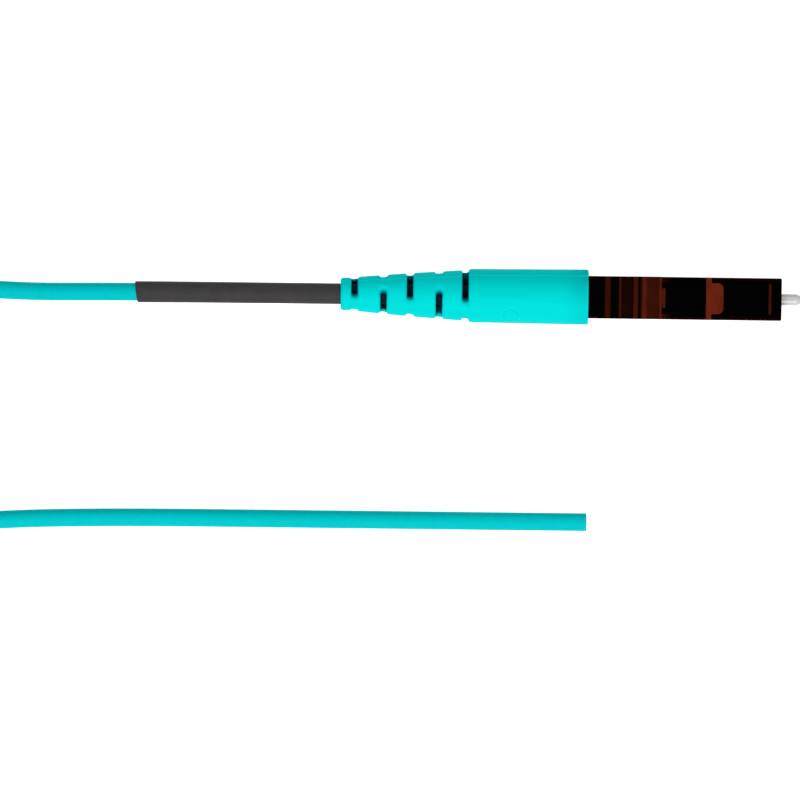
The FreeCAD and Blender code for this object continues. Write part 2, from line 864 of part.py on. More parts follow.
def make_cord_coil():
    """The outer shape of the wound cord, which lies on the lower run of its tie."""
    body = coil_body("cord_coil")
    section = coil_section(body, "0", "tie_thick + tie_gap", "tie_thick + tie_gap + coil_band")
    ring = body.newObject("PartDesign::Revolution", "Ring")
    ring.Profile = section
    ring.ReferenceAxis = (section, ["V_Axis"])
    ring.Angle = 360


def make_coil_tie():
    """A strap round the coil."""
    body = coil_body("coil_tie")
    top = "tie_thick + 2 * tie_gap + coil_band"
    around = coil_section(body, "tie_gap + tie_thick", "0", f"{top} + tie_thick")
    strap = body.newObject("PartDesign::Revolution", "Strap")
    strap.Profile = around
    strap.ReferenceAxis = (around, ["V_Axis"])
    strap.Midplane = True
    bind(strap, Angle="tie_arc")
    inside = coil_section(body, "tie_gap", "tie_thick", top)
    hollow = body.newObject("PartDesign::Groove", "Hollow")
    hollow.Profile = inside
    hollow.ReferenceAxis = (inside, ["V_Axis"])
    hollow.Angle = 360


def route_wire(points):
    """Straight runs between the points, joined by arcs as large as the runs allow."""
    corners = [Vector(*point) for point in points]
    edges = []
    radii = []
    start = corners[0]
    for before, corner, after in zip(corners, corners[1:], corners[2:]):
        inward = (before - corner).normalize()
        outward = (after - corner).normalize()
        half_turn = (math.pi - inward.getAngle(outward)) / 2
        reach = 0.45 * min((before - corner).Length, (after - corner).Length)
        radius = reach / math.tan(half_turn)
        middle = corner + (inward + outward).normalize() * (radius / math.cos(half_turn) - radius)
        edges.append(Part.LineSegment(start, corner + inward * reach).toShape())
        edges.append(Part.Arc(corner + inward * reach, middle, corner + outward * reach).toShape())
        radii.append(radius)
        start = corner + outward * reach
    edges.append(Part.LineSegment(start, corners[-1]).toShape())
    return Part.Wire(edges), radii


def swept_round(label, points, radius):
    """A round bar of a bound radius along a route."""
    wire, radii = route_wire(points)
    spine = document.addObject("Part::Feature", f"{label}_spine")
    spine.Shape = wire
    first, second = Vector(*points[0]), Vector(*points[1])
    section = document.addObject("Part::Circle", f"{label}_section")
    section.Placement = FreeCAD.Placement(first, FreeCAD.Rotation(Vector(0, 0, 1), second - first))
    bind(section, Radius=radius)
    bar = document.addObject("Part::Sweep", label)
    bar.Label = label
    bar.Sections = [section]
    bar.Spine = (spine, [f"Edge{number + 1}" for number in range(len(wire.Edges))])
    bar.Solid = True
    document.recompute()
    expected = math.pi * size(radius) ** 2 * wire.Length
    print(f"{label}: length {wire.Length:.2f}, tightest radius {min(radii):.1f}, "
          f"volume {bar.Shape.Volume:.2f} of {expected:.2f}")
    return bar


def make_heat_shrink():
    """A sleeve that follows the cord from behind the crimp to its slanting rear end."""
    outside = swept_round("sleeve_outside", UPPER_ROUTE, "sleeve_wide / 2")
    inside = swept_round("sleeve_inside", UPPER_ROUTE, "sleeve_bore / 2")
    reach = document.addObject("Part::Box", "SleeveReach")
    reach.Placement.Rotation = FreeCAD.Rotation(Vector(0, 0, 1), size("sleeve_slant"))
    bind(reach, **{
        "Length": "(sleeve_rear_back - sleeve_front_back) * cos(sleeve_slant)",
        "Width": "sleeve_room",
        "Height": "sleeve_room",
        "Placement.Base.x": f"{SHIFT_X} - sleeve_rear_back + sleeve_room / 2 * sin(sleeve_slant)",
        "Placement.Base.y": "-sleeve_room / 2",
    })
    stretch = document.addObject("Part::Common", "SleeveStretch")
    stretch.Base = outside
    stretch.Tool = reach
    sleeve = document.addObject("Part::Cut", "heat_shrink")
    sleeve.Label = "heat_shrink"
    sleeve.Base = stretch
    sleeve.Tool = inside
    return sleeve


make_ferrule()
make_ferrule_flange()
make_rod("fibre", "ferrule_reach", "-buffer_front_back", "fibre_wide")
make_rod("fibre_buffer", "-buffer_front_back", "-buffer_rear_back", "buffer_wide")
make_guide_tube()
make_spring()
make_plug_housing()
make_latch_arm()
make_rear_housing()
make_trigger_arm()
make_backpost()
make_aramid_yarn()
make_crimp_sleeve()
make_boot()
make_cord_coil()
make_coil_tie()
sleeve = make_heat_shrink()
upper_cord = swept_round("cord_upper", UPPER_ROUTE, "cord_wide / 2")
lower_cord = swept_round("cord_lower", LOWER_ROUTE, "cord_wide / 2")
document.recompute()

for item in document.Objects:
    if "Invalid" in item.State or "Error" in item.State:
        raise RuntimeError(f"{item.Label} failed: {item.State}")

pieces = [item for item in document.Objects if item.TypeId == "PartDesign::Body"]
pieces += [sleeve, upper_cord, lower_cord]
os.makedirs("parts", exist_ok=True)
for piece in pieces:
    if piece.Shape.isNull() or not piece.Shape.isValid() or len(piece.Shape.Solids) != 1:
        raise RuntimeError(f"{piece.Label} is not one valid solid")
    piece.Shape.exportStep(f"parts/{piece.Label}.step")
    print(f"{piece.Label}: {piece.Shape.Volume:.3f} cubic mm")
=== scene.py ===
"""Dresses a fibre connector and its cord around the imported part.

Lengths are in metres in the part's own frame: X runs towards the ferrule's tip and Z up to the
latch side.
"""

import functools
import math

import bmesh
import bpy
from bpy.props import FloatProperty, FloatVectorProperty, PointerProperty
from bpy.types import Operator, Panel, PropertyGroup
from mathutils import Matrix, Vector


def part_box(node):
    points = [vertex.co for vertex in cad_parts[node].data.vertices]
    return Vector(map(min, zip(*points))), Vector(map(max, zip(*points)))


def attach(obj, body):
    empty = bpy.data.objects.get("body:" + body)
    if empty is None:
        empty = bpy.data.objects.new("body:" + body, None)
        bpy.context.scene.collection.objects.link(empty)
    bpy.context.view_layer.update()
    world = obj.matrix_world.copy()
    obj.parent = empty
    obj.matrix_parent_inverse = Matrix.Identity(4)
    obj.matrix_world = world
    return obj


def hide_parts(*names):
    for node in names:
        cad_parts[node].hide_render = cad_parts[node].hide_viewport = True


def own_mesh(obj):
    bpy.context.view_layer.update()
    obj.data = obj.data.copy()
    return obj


bl_info = {
    "name": "Fibre connector looks",
    "version": (1, 0, 0),
    "blender": (4, 5, 0),
    "location": "3D View > Sidebar > Fibre",
    "description": "Builds the boot, sleeve, cord, spring and finishes of a small fibre plug",
    "category": "Object",
}

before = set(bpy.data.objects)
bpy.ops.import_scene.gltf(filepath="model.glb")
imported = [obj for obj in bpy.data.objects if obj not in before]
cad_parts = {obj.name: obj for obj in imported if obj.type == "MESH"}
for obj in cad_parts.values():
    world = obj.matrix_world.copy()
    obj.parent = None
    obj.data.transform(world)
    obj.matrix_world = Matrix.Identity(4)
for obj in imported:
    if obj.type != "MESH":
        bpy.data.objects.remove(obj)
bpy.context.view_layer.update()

MM = 0.001

# The view from straight above: its middle, its width and its turn.
VIEW_MIDDLE = Vector((-18.07 * MM, -11.255 * MM, 2.9 * MM))
VIEW_WIDE = 85.47 * MM
VIEW_TURN = math.radians(0.77)
# A very long lens stands for a view without perspective. Lens and sensor are in millimetres.
LENS = 1000
SENSOR_WIDE = 36
CLIP_START = 0.01
FLOOR_REACH = 3
# The lamps: name, place, width and power.
LAMPS = (
    ("key", Vector((-0.05, -0.5, 0.6)), 0.5, 4.8),
    ("fill", Vector((0.15, 0.5, 0.6)), 0.6, 1.4),
)
# How brightly the floor shows to the camera on top of its own light, and how much the world lights the rest.
FLOOR_GLOW = 0.8
WORLD_FILL = 0.32
# The middle part of a noise's range, which is drawn out to the whole of it.
NOISE_SPAN = (0.3, 0.7)

NOSE_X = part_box("plug_housing")[1].x
AXIS_Z = (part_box("ferrule")[0].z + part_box("ferrule")[1].z) / 2
AXIS = Vector((0, 0, AXIS_Z))
BOOT_REAR_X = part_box("boot")[0].x

# The cord's route before and after the coil, and the middle of the coil.
UPPER_ROUTE = (
    (-0.005375, 0.0, 0.002955),
    (-0.017, 0.00002, 0.002955),
    (-0.033, 0.0, 0.002955),
    (-0.0475, -0.00005, 0.0013),
    (-0.061, -0.00025, 0.00095),
    (-0.0738, 0.0012, 0.00115),
)
LOWER_ROUTE = (
    (-0.0738, -0.0258, 0.0028),
    (-0.066, -0.02492, 0.00125),
    (-0.0525, -0.02416, 0.00095),
    (-0.025, -0.02411, 0.00095),
    (0.0021, -0.02406, 0.00095),
)
COIL_CENTRE = Vector((-0.0794, -0.0122, 0))
# The places in the coil's section that the turns fill in order: ring from the inside, and layer.
COIL_PLACES = (
    (4, 1), (3, 1), (2, 1), (1, 1), (1, 2), (1, 3), (1, 4), (2, 4),
    (3, 4), (4, 4), (4, 3), (3, 3), (2, 3), (2, 2), (3, 2), (4, 2),
)
COIL_TURNS = 12.5
POINTS_PER_TURN = 16
# Degrees over which the cord passes from one place to the next, the radius of the innermost turns in cord
# diameters, and the room under the coil.
COIL_CROSSING = 72
COIL_INNER = 4.25
COIL_LIFT = 0.35 * MM
# How finely the cord is drawn along its line, and round its section.
CORD_STEPS = 9
CORD_SIDES = 6
# Tones of the yellow yarn, and the layers of the cord's cut end: how far from its middle each begins and is
# full, in millimetres.
YARN_TONES = ((0.55, 0.38, 0.08), (0.86, 0.68, 0.25))
YARN_SPAN = (0.35, 0.65)
CUT_LAYERS = {"buffer": (0.06, 0.07), "yarn": (0.44, 0.46), "jacket": (0.59, 0.6)}

# The boot's skin and hollow: millimetres behind the nose face, and radius. The step is at the first slot.
BOOT_SKIN = (
    (20.6, 2.85), (20.7, 2.955), (33.29, 2.86), (33.4, 2.75), (39.75, 2.32), (46.1, 1.78), (46.2, 1.75),
    (46.95, 1.75), (47.1, 1.6),
)
BOOT_HOLLOW = ((20.6, 1.82), (37.0, 1.8), (46.0, 1.3), (46.5, 1.19), (47.1, 1.19))
SLOT_ROWS = 5
FIRST_SLOT = 33.75
SLOT_PITCH = 2.965
SLOT_STAGGER = 0.14
# Half of a slot's opening in the skin, in front of its middle and behind it. The step cuts the first short.
SLOT_HALF = 0.48
SLOT_RAMP = 0.8
SLOT_RAMP_DEPTH = 0.34
FIRST_SLOT_HALF = 0.35
# Angles run from the latch side towards +Y. SLOT_ENDS says for each row how far its slots open in the skin
# to both sides of their middle. Their straight part takes up the grid as far as STRAIGHT_STEPS, and their
# end the next two steps.
SLOT_TURN = 45.0
SLOT_ENDS = (69.5, 66.0, 71.5, 70.5, 69.0)
STRAIGHT_STEPS = 60
GRID_STEP = 5
# Rings of the skin besides those at the outline's points and the slots, the outline's points that get none,
# and the gap between a slot's rim and the ring beside it.
RINGS_ADDED = (20.8, *(22.2 + 1.3 * number for number in range(8)), 33.0, 46.6)
RINGS_LEFT_OUT = {39.75, 46.1}
RIM_GAP = 0.14
# Inside the slots little light arrives: how deep under the skin the shade begins and is full. More arrives on
# the -Y side: the share of the shade at two places across the boot.
SHADE_DEPTHS = (0.05 * MM, 0.34 * MM)
SHADE_SIDES = (-1.5 * MM, -1.15 * MM, 0.3, 1.0)
SLOT_SHADE = (0.0, 0.02, 0.055)
SHADE_STRENGTH = 0.86

# The sleeve: how much shorter it is than its solid, the gap between its rings and their sides, the air under
# it, its waist, its unevenness, and the slant of its rear end, which the vertices behind SLEEVE_CUT take.
SLEEVE_SHORTER = 0.14 * MM
SLEEVE_RING_GAP = 0.8 * MM
SLEEVE_SIDES = 40
SLEEVE_AIR = 0.02 * MM
SLEEVE_WAIST = 0.02 * MM
SLEEVE_WAVE = 0.004 * MM
SLEEVE_SLANT = 0.12
SLEEVE_CUT = 0.3 * MM
# The strap: its thickness, width and corners, its place in the solid, its gap to the bundle, and how far up
# the bundle its free end begins.
STRAP_THICK = 0.14 * MM
STRAP_WIDE = 3.3 * MM
STRAP_CORNER = 1.4 * MM
STRAP_INSET = 0.35 * MM
STRAP_GAP = 0.05 * MM
STRAP_END = 0.45

# The mould's marks on the boot, shown by painted highlights and painted shade: the parting line's angle, and
# the ejector's round mark with its groove.
PARTING_ANGLE = 49.5
EJECTOR_BACK = 28.9
EJECTOR_ANGLE = -47.0
EJECTOR_RADIUS = 0.96 * MM
GROOVE_RADIUS = 0.84 * MM
RIDGE_HIGH = 0.02 * MM
# The soft darker patch at the boot's front: where it begins and is full behind the nose face, and its share
# at two places across the boot.
FRONT_SHADE = (23.7, 20.9)
FRONT_SHADE_SIDES = (-1.2 * MM, 0.6 * MM, 0.5, 0.85)
# How strongly each mark shows, and how much lighter or darker it is than the plastic. The front's patch and
# the ejector's groove are painted shade; the line along the parting ridge and front rim and the ejector's
# ring are painted highlights.
MARK_TONES = {"shade": (1.0, 0.8), "line": (0.85, 1.28), "ring": (0.35, 1.28), "groove": (0.45, 0.75)}

# Painted light on the plug, brown over its nearly black plastic: ranges in millimetres behind the nose face,
# above the axis (HIGH) or to its sides (SIDES). Some end with the two strengths that they are carried to.
FAINT_EDGE_SIDES = (1.8, 2.2, 0.0, 0.05)
STRONG_EDGE_SIDES = (2.12, 2.24, 0.0, 0.22)
EDGE_HIGH = (1.9, 2.15)
FRONT_EDGES = (0, 13.3)
TOP_HIGH = (1.9, 2.1)
ROOT_LIT = (1.13, 1.37)
ROOT_STRENGTH = 0.44
ROOT_SIDES = (1.66, 1.56)
BESIDE_TAB_LIT = (11.6, 12.95, 0.0, 0.33)
BESIDE_TAB_SIDES = (0.9, 1.25)
WINGS_LIT = (6.1, 8.1)
WINGS_HIGH = (3.38, 3.5)
# The trigger's bands of painted light: start, end, strength, and how soft the ends are.
TRIGGER_LIT = (
    (12.45, 12.95, 0.55, 0.03), (12.9, 13.1, 0.72, 0.05), (13.0, 14.98, 0.27, 0.05),
    (14.3, 14.95, 0.5, 0.25), (14.5, 14.93, 0.68, 0.06), (15.38, 15.85, 0.4, 0.05),
    (15.95, 17.12, 0.07, 0.1), (17.14, 17.38, 0.34, 0.03), (18.3, 18.85, 0.29, 0.12),
)

# The inner pieces' finishes: node, material's name, colour, then roughness, grain and stretch of the tool
# marks for metals, or the grain for plastics.
METALS = (
    ("ferrule_flange", "nickel", (0.6, 0.58, 0.54), 0.25, 0.06 * MM, (0.3, 1, 1)),
    ("backpost", "nickel_post", (0.6, 0.58, 0.54), 0.3, 0.08 * MM, (4, 1, 1)),
    ("crimp_sleeve", "crimp_metal", (0.7, 0.7, 0.72), 0.35, 0.1 * MM, (0.25, 1, 1)),
)
PLASTICS = (
    ("guide_tube", "guide_plastic", (0.75, 0.75, 0.72), 0.05 * MM),
    ("fibre_buffer", "buffer_plastic", (0.8, 0.8, 0.77), 0.04 * MM),
)


def small_length(name, description, default, low, high):
    """A property for a length, given in millimetres."""
    return FloatProperty(
        name=name, description=description, default=default * MM, min=low * MM, max=high * MM,
        subtype="DISTANCE", unit="LENGTH", precision=5,
    )


def colour_choice(name, description, default):
    """A property for a colour."""
    return FloatVectorProperty(
        name=name, description=description, default=default, subtype="COLOR", size=3, min=0, max=1,
    )


class FibreSizes(PropertyGroup):
    """Sizes of the cord, its sleeve and the boot's small forms."""

    cord_wide: small_length("Cord diameter", "Outside diameter of the cord's jacket", 1.9, 0.5, 4)
    cord_long: FloatProperty(
        name="Cord length", description="Real length of the cord from inside the boot to its bare end",
        default=1.0, min=0.1, max=10, subtype="DISTANCE", unit="LENGTH",
    )
    sleeve_wall: small_length("Sleeve wall", "Thickness of the shrunk sleeve", 0.16, 0.02, 0.5)
    slot_wide: small_length("Slot width", "Width of the slots at the foot of their flare", 0.6, 0.2, 0.9)
    slot_flare: small_length("Slot flare", "Depth of the flare round a slot's edge", 0.2, 0.02, 0.4)
    spring_wire: small_length("Spring wire", "Diameter of the spring's wire", 0.32, 0.1, 0.5)
    spring_turns: FloatProperty(
        name="Spring turns", description="Working turns of the spring between its closed ends",
        default=6.0, min=2, max=12,
    )
    edge: small_length("Moulded edge", "Radius of the plug's moulded edges", 0.045, 0.005, 0.2)


class FibreColours(PropertyGroup):
    """Colours of the finishes."""

    boot: colour_choice("Boot", "Colour of the soft boot", (0.0, 0.70, 0.68))
    jacket: colour_choice("Jacket", "Colour of the cord's jacket", (0.0, 0.54, 0.567))
    sleeve: colour_choice("Sleeve", "Colour of the shrunk sleeve", (0.048, 0.045, 0.046))
    # The plug's own nearly black plastic, and the brown that stands for light painted on it.
    body: colour_choice("Plug body", "Colour of the thick walls of the plug", (0.0006, 0.0004, 0.0004))
    body_painted_light: colour_choice(
        "Plug body, thin parts", "Colour where the plug's plastic is thin and lets light in",
        (0.138, 0.0175, 0.0065),
    )
    ceramic: colour_choice("Ceramic", "Colour of the ferrule", (0.61, 0.605, 0.62))
    floor: colour_choice("Floor", "Colour of the floor", (0.85, 0.85, 0.85))


def sizes():
    return bpy.context.scene.fibre_sizes


def colours():
    return bpy.context.scene.fibre_colours


# ---- materials


def new_node(owner, kind, values=None, **settings):
    """A node of a material or a world, with its settings, and its sockets' values or their sources."""
    node = owner.node_tree.nodes.new(kind)
    for name, value in settings.items():
        setattr(node, name, value)
    for name, value in (values or {}).items():
        if isinstance(value, bpy.types.NodeSocket):
            owner.node_tree.links.new(value, node.inputs[name])
        else:
            node.inputs[name].default_value = value
    return node


def new_material(name, roughness, metallic=0.0, specular=0.5, colour=None):
    """A material with one shader whose plain values stand on its own sockets."""
    material = bpy.data.materials.new(name)
    material.use_nodes = True
    material.node_tree.nodes.clear()
    shader = new_node(material, "ShaderNodeBsdfPrincipled", {
        "Roughness": roughness, "Metallic": metallic, "Specular IOR Level": specular,
    })
    if colour is not None:
        shader.inputs["Base Color"].default_value = (*colour, 1)
        material.diffuse_color = (*colour, 1)
    new_node(material, "ShaderNodeOutputMaterial", {"Surface": shader.outputs["BSDF"]})
    return material, shader


def place_of(material, stretch=(1, 1, 1), centre=(0, 0, 0), turn=(0, 0, 0)):
    """The point in the part's own frame, moved so that centre is at its origin, turned and stretched."""
    coordinates = new_node(material, "ShaderNodeTexCoord")
    moved = new_node(material, "ShaderNodeVectorMath", {
        0: coordinates.outputs["Object"], 1: centre,
    }, operation="SUBTRACT")
    mapping = new_node(material, "ShaderNodeMapping", {
        "Vector": moved.outputs["Vector"], "Rotation": turn, "Scale": stretch,
    })
    return mapping.outputs["Vector"]


def noise(material, grain, detail=3.0, stretch=(1, 1, 1)):
    """Soft noise whose patches are about as wide as grain."""
    texture = new_node(material, "ShaderNodeTexNoise", {
        "Vector": place_of(material, stretch), "Scale": 1 / grain, "Detail": detail,
    })
    return texture.outputs["Fac"]


def between(material, factor, first, second):
    """A colour between two, by a factor."""
    ends = [part if isinstance(part, bpy.types.NodeSocket) else (*part, 1) for part in (first, second)]
    mix = new_node(material, "ShaderNodeMix", {0: factor, 6: ends[0], 7: ends[1]}, data_type="RGBA")
    return mix.outputs[2]


def spread(material, value, low, high, to_low=0.0, to_high=1.0, smooth=False):
    """A number carried from one range to another and kept inside it."""
    node = new_node(material, "ShaderNodeMapRange", {
        "Value": value, "From Min": low, "From Max": high, "To Min": to_low, "To Max": to_high,
    }, interpolation_type="SMOOTHSTEP" if smooth else "LINEAR")
    return node.outputs["Result"]


def worked_out(material, kind, first, second=0.0):
    """Two numbers put together by a kind of arithmetic, or one number changed by it."""
    return new_node(material, "ShaderNodeMath", {0: first, 1: second}, operation=kind).outputs[0]


def product(material, *numbers):
    """Some numbers multiplied together."""
    return functools.reduce(lambda first, second: worked_out(material, "MULTIPLY", first, second), numbers)


def largest(material, *numbers):
    """The largest of some numbers."""
    return functools.reduce(lambda first, second: worked_out(material, "MAXIMUM", first, second), numbers)


def axes_of(material, **placing):
    """The point's X, Y and Z in the frame that place_of gives."""
    return new_node(material, "ShaderNodeSeparateXYZ", {"Vector": place_of(material, **placing)}).outputs


def length_of(material, **parts):
    """The length of a vector from some of its X, Y and Z."""
    vector = new_node(material, "ShaderNodeCombineXYZ", parts).outputs["Vector"]
    return new_node(material, "ShaderNodeVectorMath", {0: vector}, operation="LENGTH").outputs["Value"]


def tint(colour, factor):
    """A colour made lighter or darker."""
    return tuple(min(1.0, part * factor) for part in colour)


def set_colour(material, shader, socket):
    material.node_tree.links.new(socket, shader.inputs["Base Color"])


def set_roughness(material, shader, factor, low, high):
    """Roughness that goes with a noise between two values."""
    value = spread(material, factor, *NOISE_SPAN, low, high)
    material.node_tree.links.new(value, shader.inputs["Roughness"])


def set_bump(material, shader, height, depth):
    """Small relief from a height socket, as deep as depth."""
    bump = new_node(material, "ShaderNodeBump", {"Height": height, "Distance": depth, "Strength": 1.0})
    material.node_tree.links.new(bump.outputs["Normal"], shader.inputs["Normal"])


def tones(material, factor, colour, darker, lighter):
    """A colour that goes with a noise between two of its tones."""
    share = spread(material, factor, *NOISE_SPAN)
    return between(material, share, tint(colour, darker), tint(colour, lighter))


def satin_plastic(name, colour, grain, roughness=0.48, specular=0.25, drawn=(1, 1, 1)):
    """A moulded or extruded plastic with a faint skin texture and slight unevenness of colour."""
    material, shader = new_material(name, roughness, specular=specular, colour=colour)
    patches = noise(material, grain * 8, 3.0, drawn)
    set_colour(material, shader, tones(material, patches, colour, 0.97, 1.03))
    fine = noise(material, grain, 4.0)
    set_roughness(material, shader, fine, roughness - 0.06, roughness + 0.08)
    set_bump(material, shader, fine, 0.004 * MM)
    return material, shader


# ---- meshes


def finish_mesh(name, maker, body, material, replaces=(), smooth=True):
    """Turn a bmesh into a piece that rides on a body and stands for some CAD nodes."""
    bmesh.ops.recalc_face_normals(maker, faces=maker.faces)
    mesh = bpy.data.meshes.new(name)
    maker.to_mesh(mesh)
    maker.free()
    piece = bpy.data.objects.new(name, mesh)
    bpy.context.collection.objects.link(piece)
    for polygon in mesh.polygons:
        polygon.use_smooth = smooth
    mesh.materials.append(material)
    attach(piece, body)
    if replaces:
        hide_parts(*replaces)
    return piece


def dress_node(name, material):
    """Give a CAD node its finish."""
    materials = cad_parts[name].data.materials
    materials.clear()
    materials.append(material)


def ease_edges(piece, name, width, degrees):
    """Round the edges of a piece that are sharper than an angle."""
    eased = piece.modifiers.new(name, "BEVEL")
    eased.width = width
    eased.segments = 2
    eased.limit_method = "ANGLE"
    eased.angle_limit = math.radians(degrees)


def turned_outline(maker, outline, steps, centre=AXIS):
    """Spin an outline of (x, radius) points about the line along X through centre."""
    corners = [maker.verts.new((x, centre.y, centre.z + radius)) for x, radius in outline]
    edges = [maker.edges.new(pair) for pair in zip(corners, corners[1:])]
    bmesh.ops.spin(
        maker, geom=corners + edges, cent=centre, axis=(1, 0, 0), angle=2 * math.pi, steps=steps,
        use_merge=True, use_duplicate=False,
    )
    bmesh.ops.remove_doubles(maker, verts=maker.verts, dist=0.001 * MM)
    bmesh.ops.recalc_face_normals(maker, faces=maker.faces)


def drawn_points(curve):
    """Points of a curve's line or tube, as Blender draws it."""
    bpy.context.view_layer.update()
    mesh = bpy.data.meshes.new_from_object(curve.evaluated_get(bpy.context.evaluated_depsgraph_get()))
    points = [vertex.co.copy() for vertex in mesh.vertices]
    bpy.data.meshes.remove(mesh)
    return points


def route_points(curve, wanted):
    """Points along the middle line of a tube."""
    plain = curve.copy()
    plain.data = curve.data.copy()
    plain.data.bevel_depth = 0
    bpy.context.collection.objects.link(plain)
    points = [point for point in drawn_points(plain) if wanted(point)]
    bpy.data.objects.remove(plain)
    return points


# ---- stage


class FIBRE_OT_stage(Operator):
    """Set up the camera, the floor, the lights and the background"""

    bl_idname = "fibre.stage"
    bl_label = "Stage"

    def execute(self, context):
        scene = context.scene
        scene.view_settings.view_transform = "Standard"
        data = bpy.data.cameras.new("camera")
        data.lens = LENS
        data.sensor_width = SENSOR_WIDE
        data.clip_start = CLIP_START
        camera = bpy.data.objects.new("camera", data)
        scene.collection.objects.link(camera)
        camera.location = VIEW_MIDDLE + Vector((0, 0, VIEW_WIDE * data.lens / data.sensor_width))
        camera.rotation_euler = (0, 0, VIEW_TURN)
        scene.camera = camera

        maker = bmesh.new()
        bmesh.ops.create_grid(maker, x_segments=1, y_segments=1, size=FLOOR_REACH)
        mesh = bpy.data.meshes.new("floor")
        maker.to_mesh(mesh)
        maker.free()
        floor = bpy.data.objects.new("floor", mesh)
        scene.collection.objects.link(floor)
        mesh.materials.append(self.floor_finish())

        for lamp in LAMPS:
            self.add_lamp(*lamp)
        self.set_world(scene)
        return {"FINISHED"}

    def seen_directly(self, owner):
        """One on rays from the camera, in reflections and through glass, and none on all others."""
        path = new_node(owner, "ShaderNodeLightPath").outputs
        return largest(owner, path["Is Camera Ray"], path["Is Glossy Ray"], path["Is Transmission Ray"])

    def floor_finish(self):
        """A pale floor that shows white to the camera and keeps soft shadows."""
        material, shader = new_material("floor", 0.8, specular=0.1)
        cloud = noise(material, 0.2, 2.0)
        set_colour(material, shader, between(
            material, cloud, tint(colours().floor, 0.99), colours().floor
        ))
        glow = new_node(material, "ShaderNodeEmission", {
            "Color": (1, 1, 1, 1), "Strength": product(material, self.seen_directly(material), FLOOR_GLOW),
        })
        both = new_node(material, "ShaderNodeAddShader", {
            0: shader.outputs["BSDF"], 1: glow.outputs["Emission"],
        })
        tree = material.node_tree
        output = next(item for item in tree.nodes if item.type == "OUTPUT_MATERIAL")
        tree.links.new(both.outputs["Shader"], output.inputs["Surface"])
        return material

    def add_lamp(self, name, place, wide, power):
        """A square soft lamp that faces the middle of the view."""
        data = bpy.data.lights.new(name, "AREA")
        data.shape = "SQUARE"
        data.size = wide
        data.energy = power
        lamp = bpy.data.objects.new(name, data)
        bpy.context.scene.collection.objects.link(lamp)
        lamp.location = place
        towards = VIEW_MIDDLE - place
        lamp.rotation_euler = towards.to_track_quat("-Z", "Y").to_euler()

    def set_world(self, scene):
        """White to the camera and in reflections, and a plain even fill otherwise."""
        world = bpy.data.worlds.new("studio")
        scene.world = world
        world.use_nodes = True
        world.node_tree.nodes.clear()
        level = spread(world, self.seen_directly(world), 0.0, 1.0, WORLD_FILL, 1.0)
        background = new_node(world, "ShaderNodeBackground", {"Color": (1, 1, 1, 1), "Strength": level})
        new_node(world, "ShaderNodeOutputWorld", {"Surface": background.outputs["Background"]})


# ---- cord


def coil_points(cord_wide):
    """The coil's turns: each place in the section is held for the same share of them, then left smoothly."""
    held = COIL_TURNS * 360 / len(COIL_PLACES)
    # the line runs a little inside its guide points, which stand further out to make up for it
    stand_out = 1 / math.cos(math.pi / POINTS_PER_TURN)
    inner = COIL_INNER * cord_wide
    lowest = COIL_LIFT + cord_wide / 2
    steps = round(COIL_TURNS * POINTS_PER_TURN)
    points = []
    for step in range(steps + 1):
        travelled = step * 360 / POINTS_PER_TURN
        boundary = round(travelled / held)
        share = (travelled - boundary * held) / COIL_CROSSING + 0.5
        share = min(1.0, max(0.0, share))
        share = share * share * (3 - 2 * share)
        before = COIL_PLACES[max(0, boundary - 1)]
        after = COIL_PLACES[min(len(COIL_PLACES) - 1, boundary)]
        ring = before[0] + (after[0] - before[0]) * share
        layer = before[1] + (after[1] - before[1]) * share
        radius = (inner + (ring - 1) * cord_wide) * stand_out
        angle = math.radians(90 + travelled)
        points.append(COIL_CENTRE + Vector((
            radius * math.cos(angle), radius * math.sin(angle), lowest + (layer - 1) * cord_wide
        )))
    return points


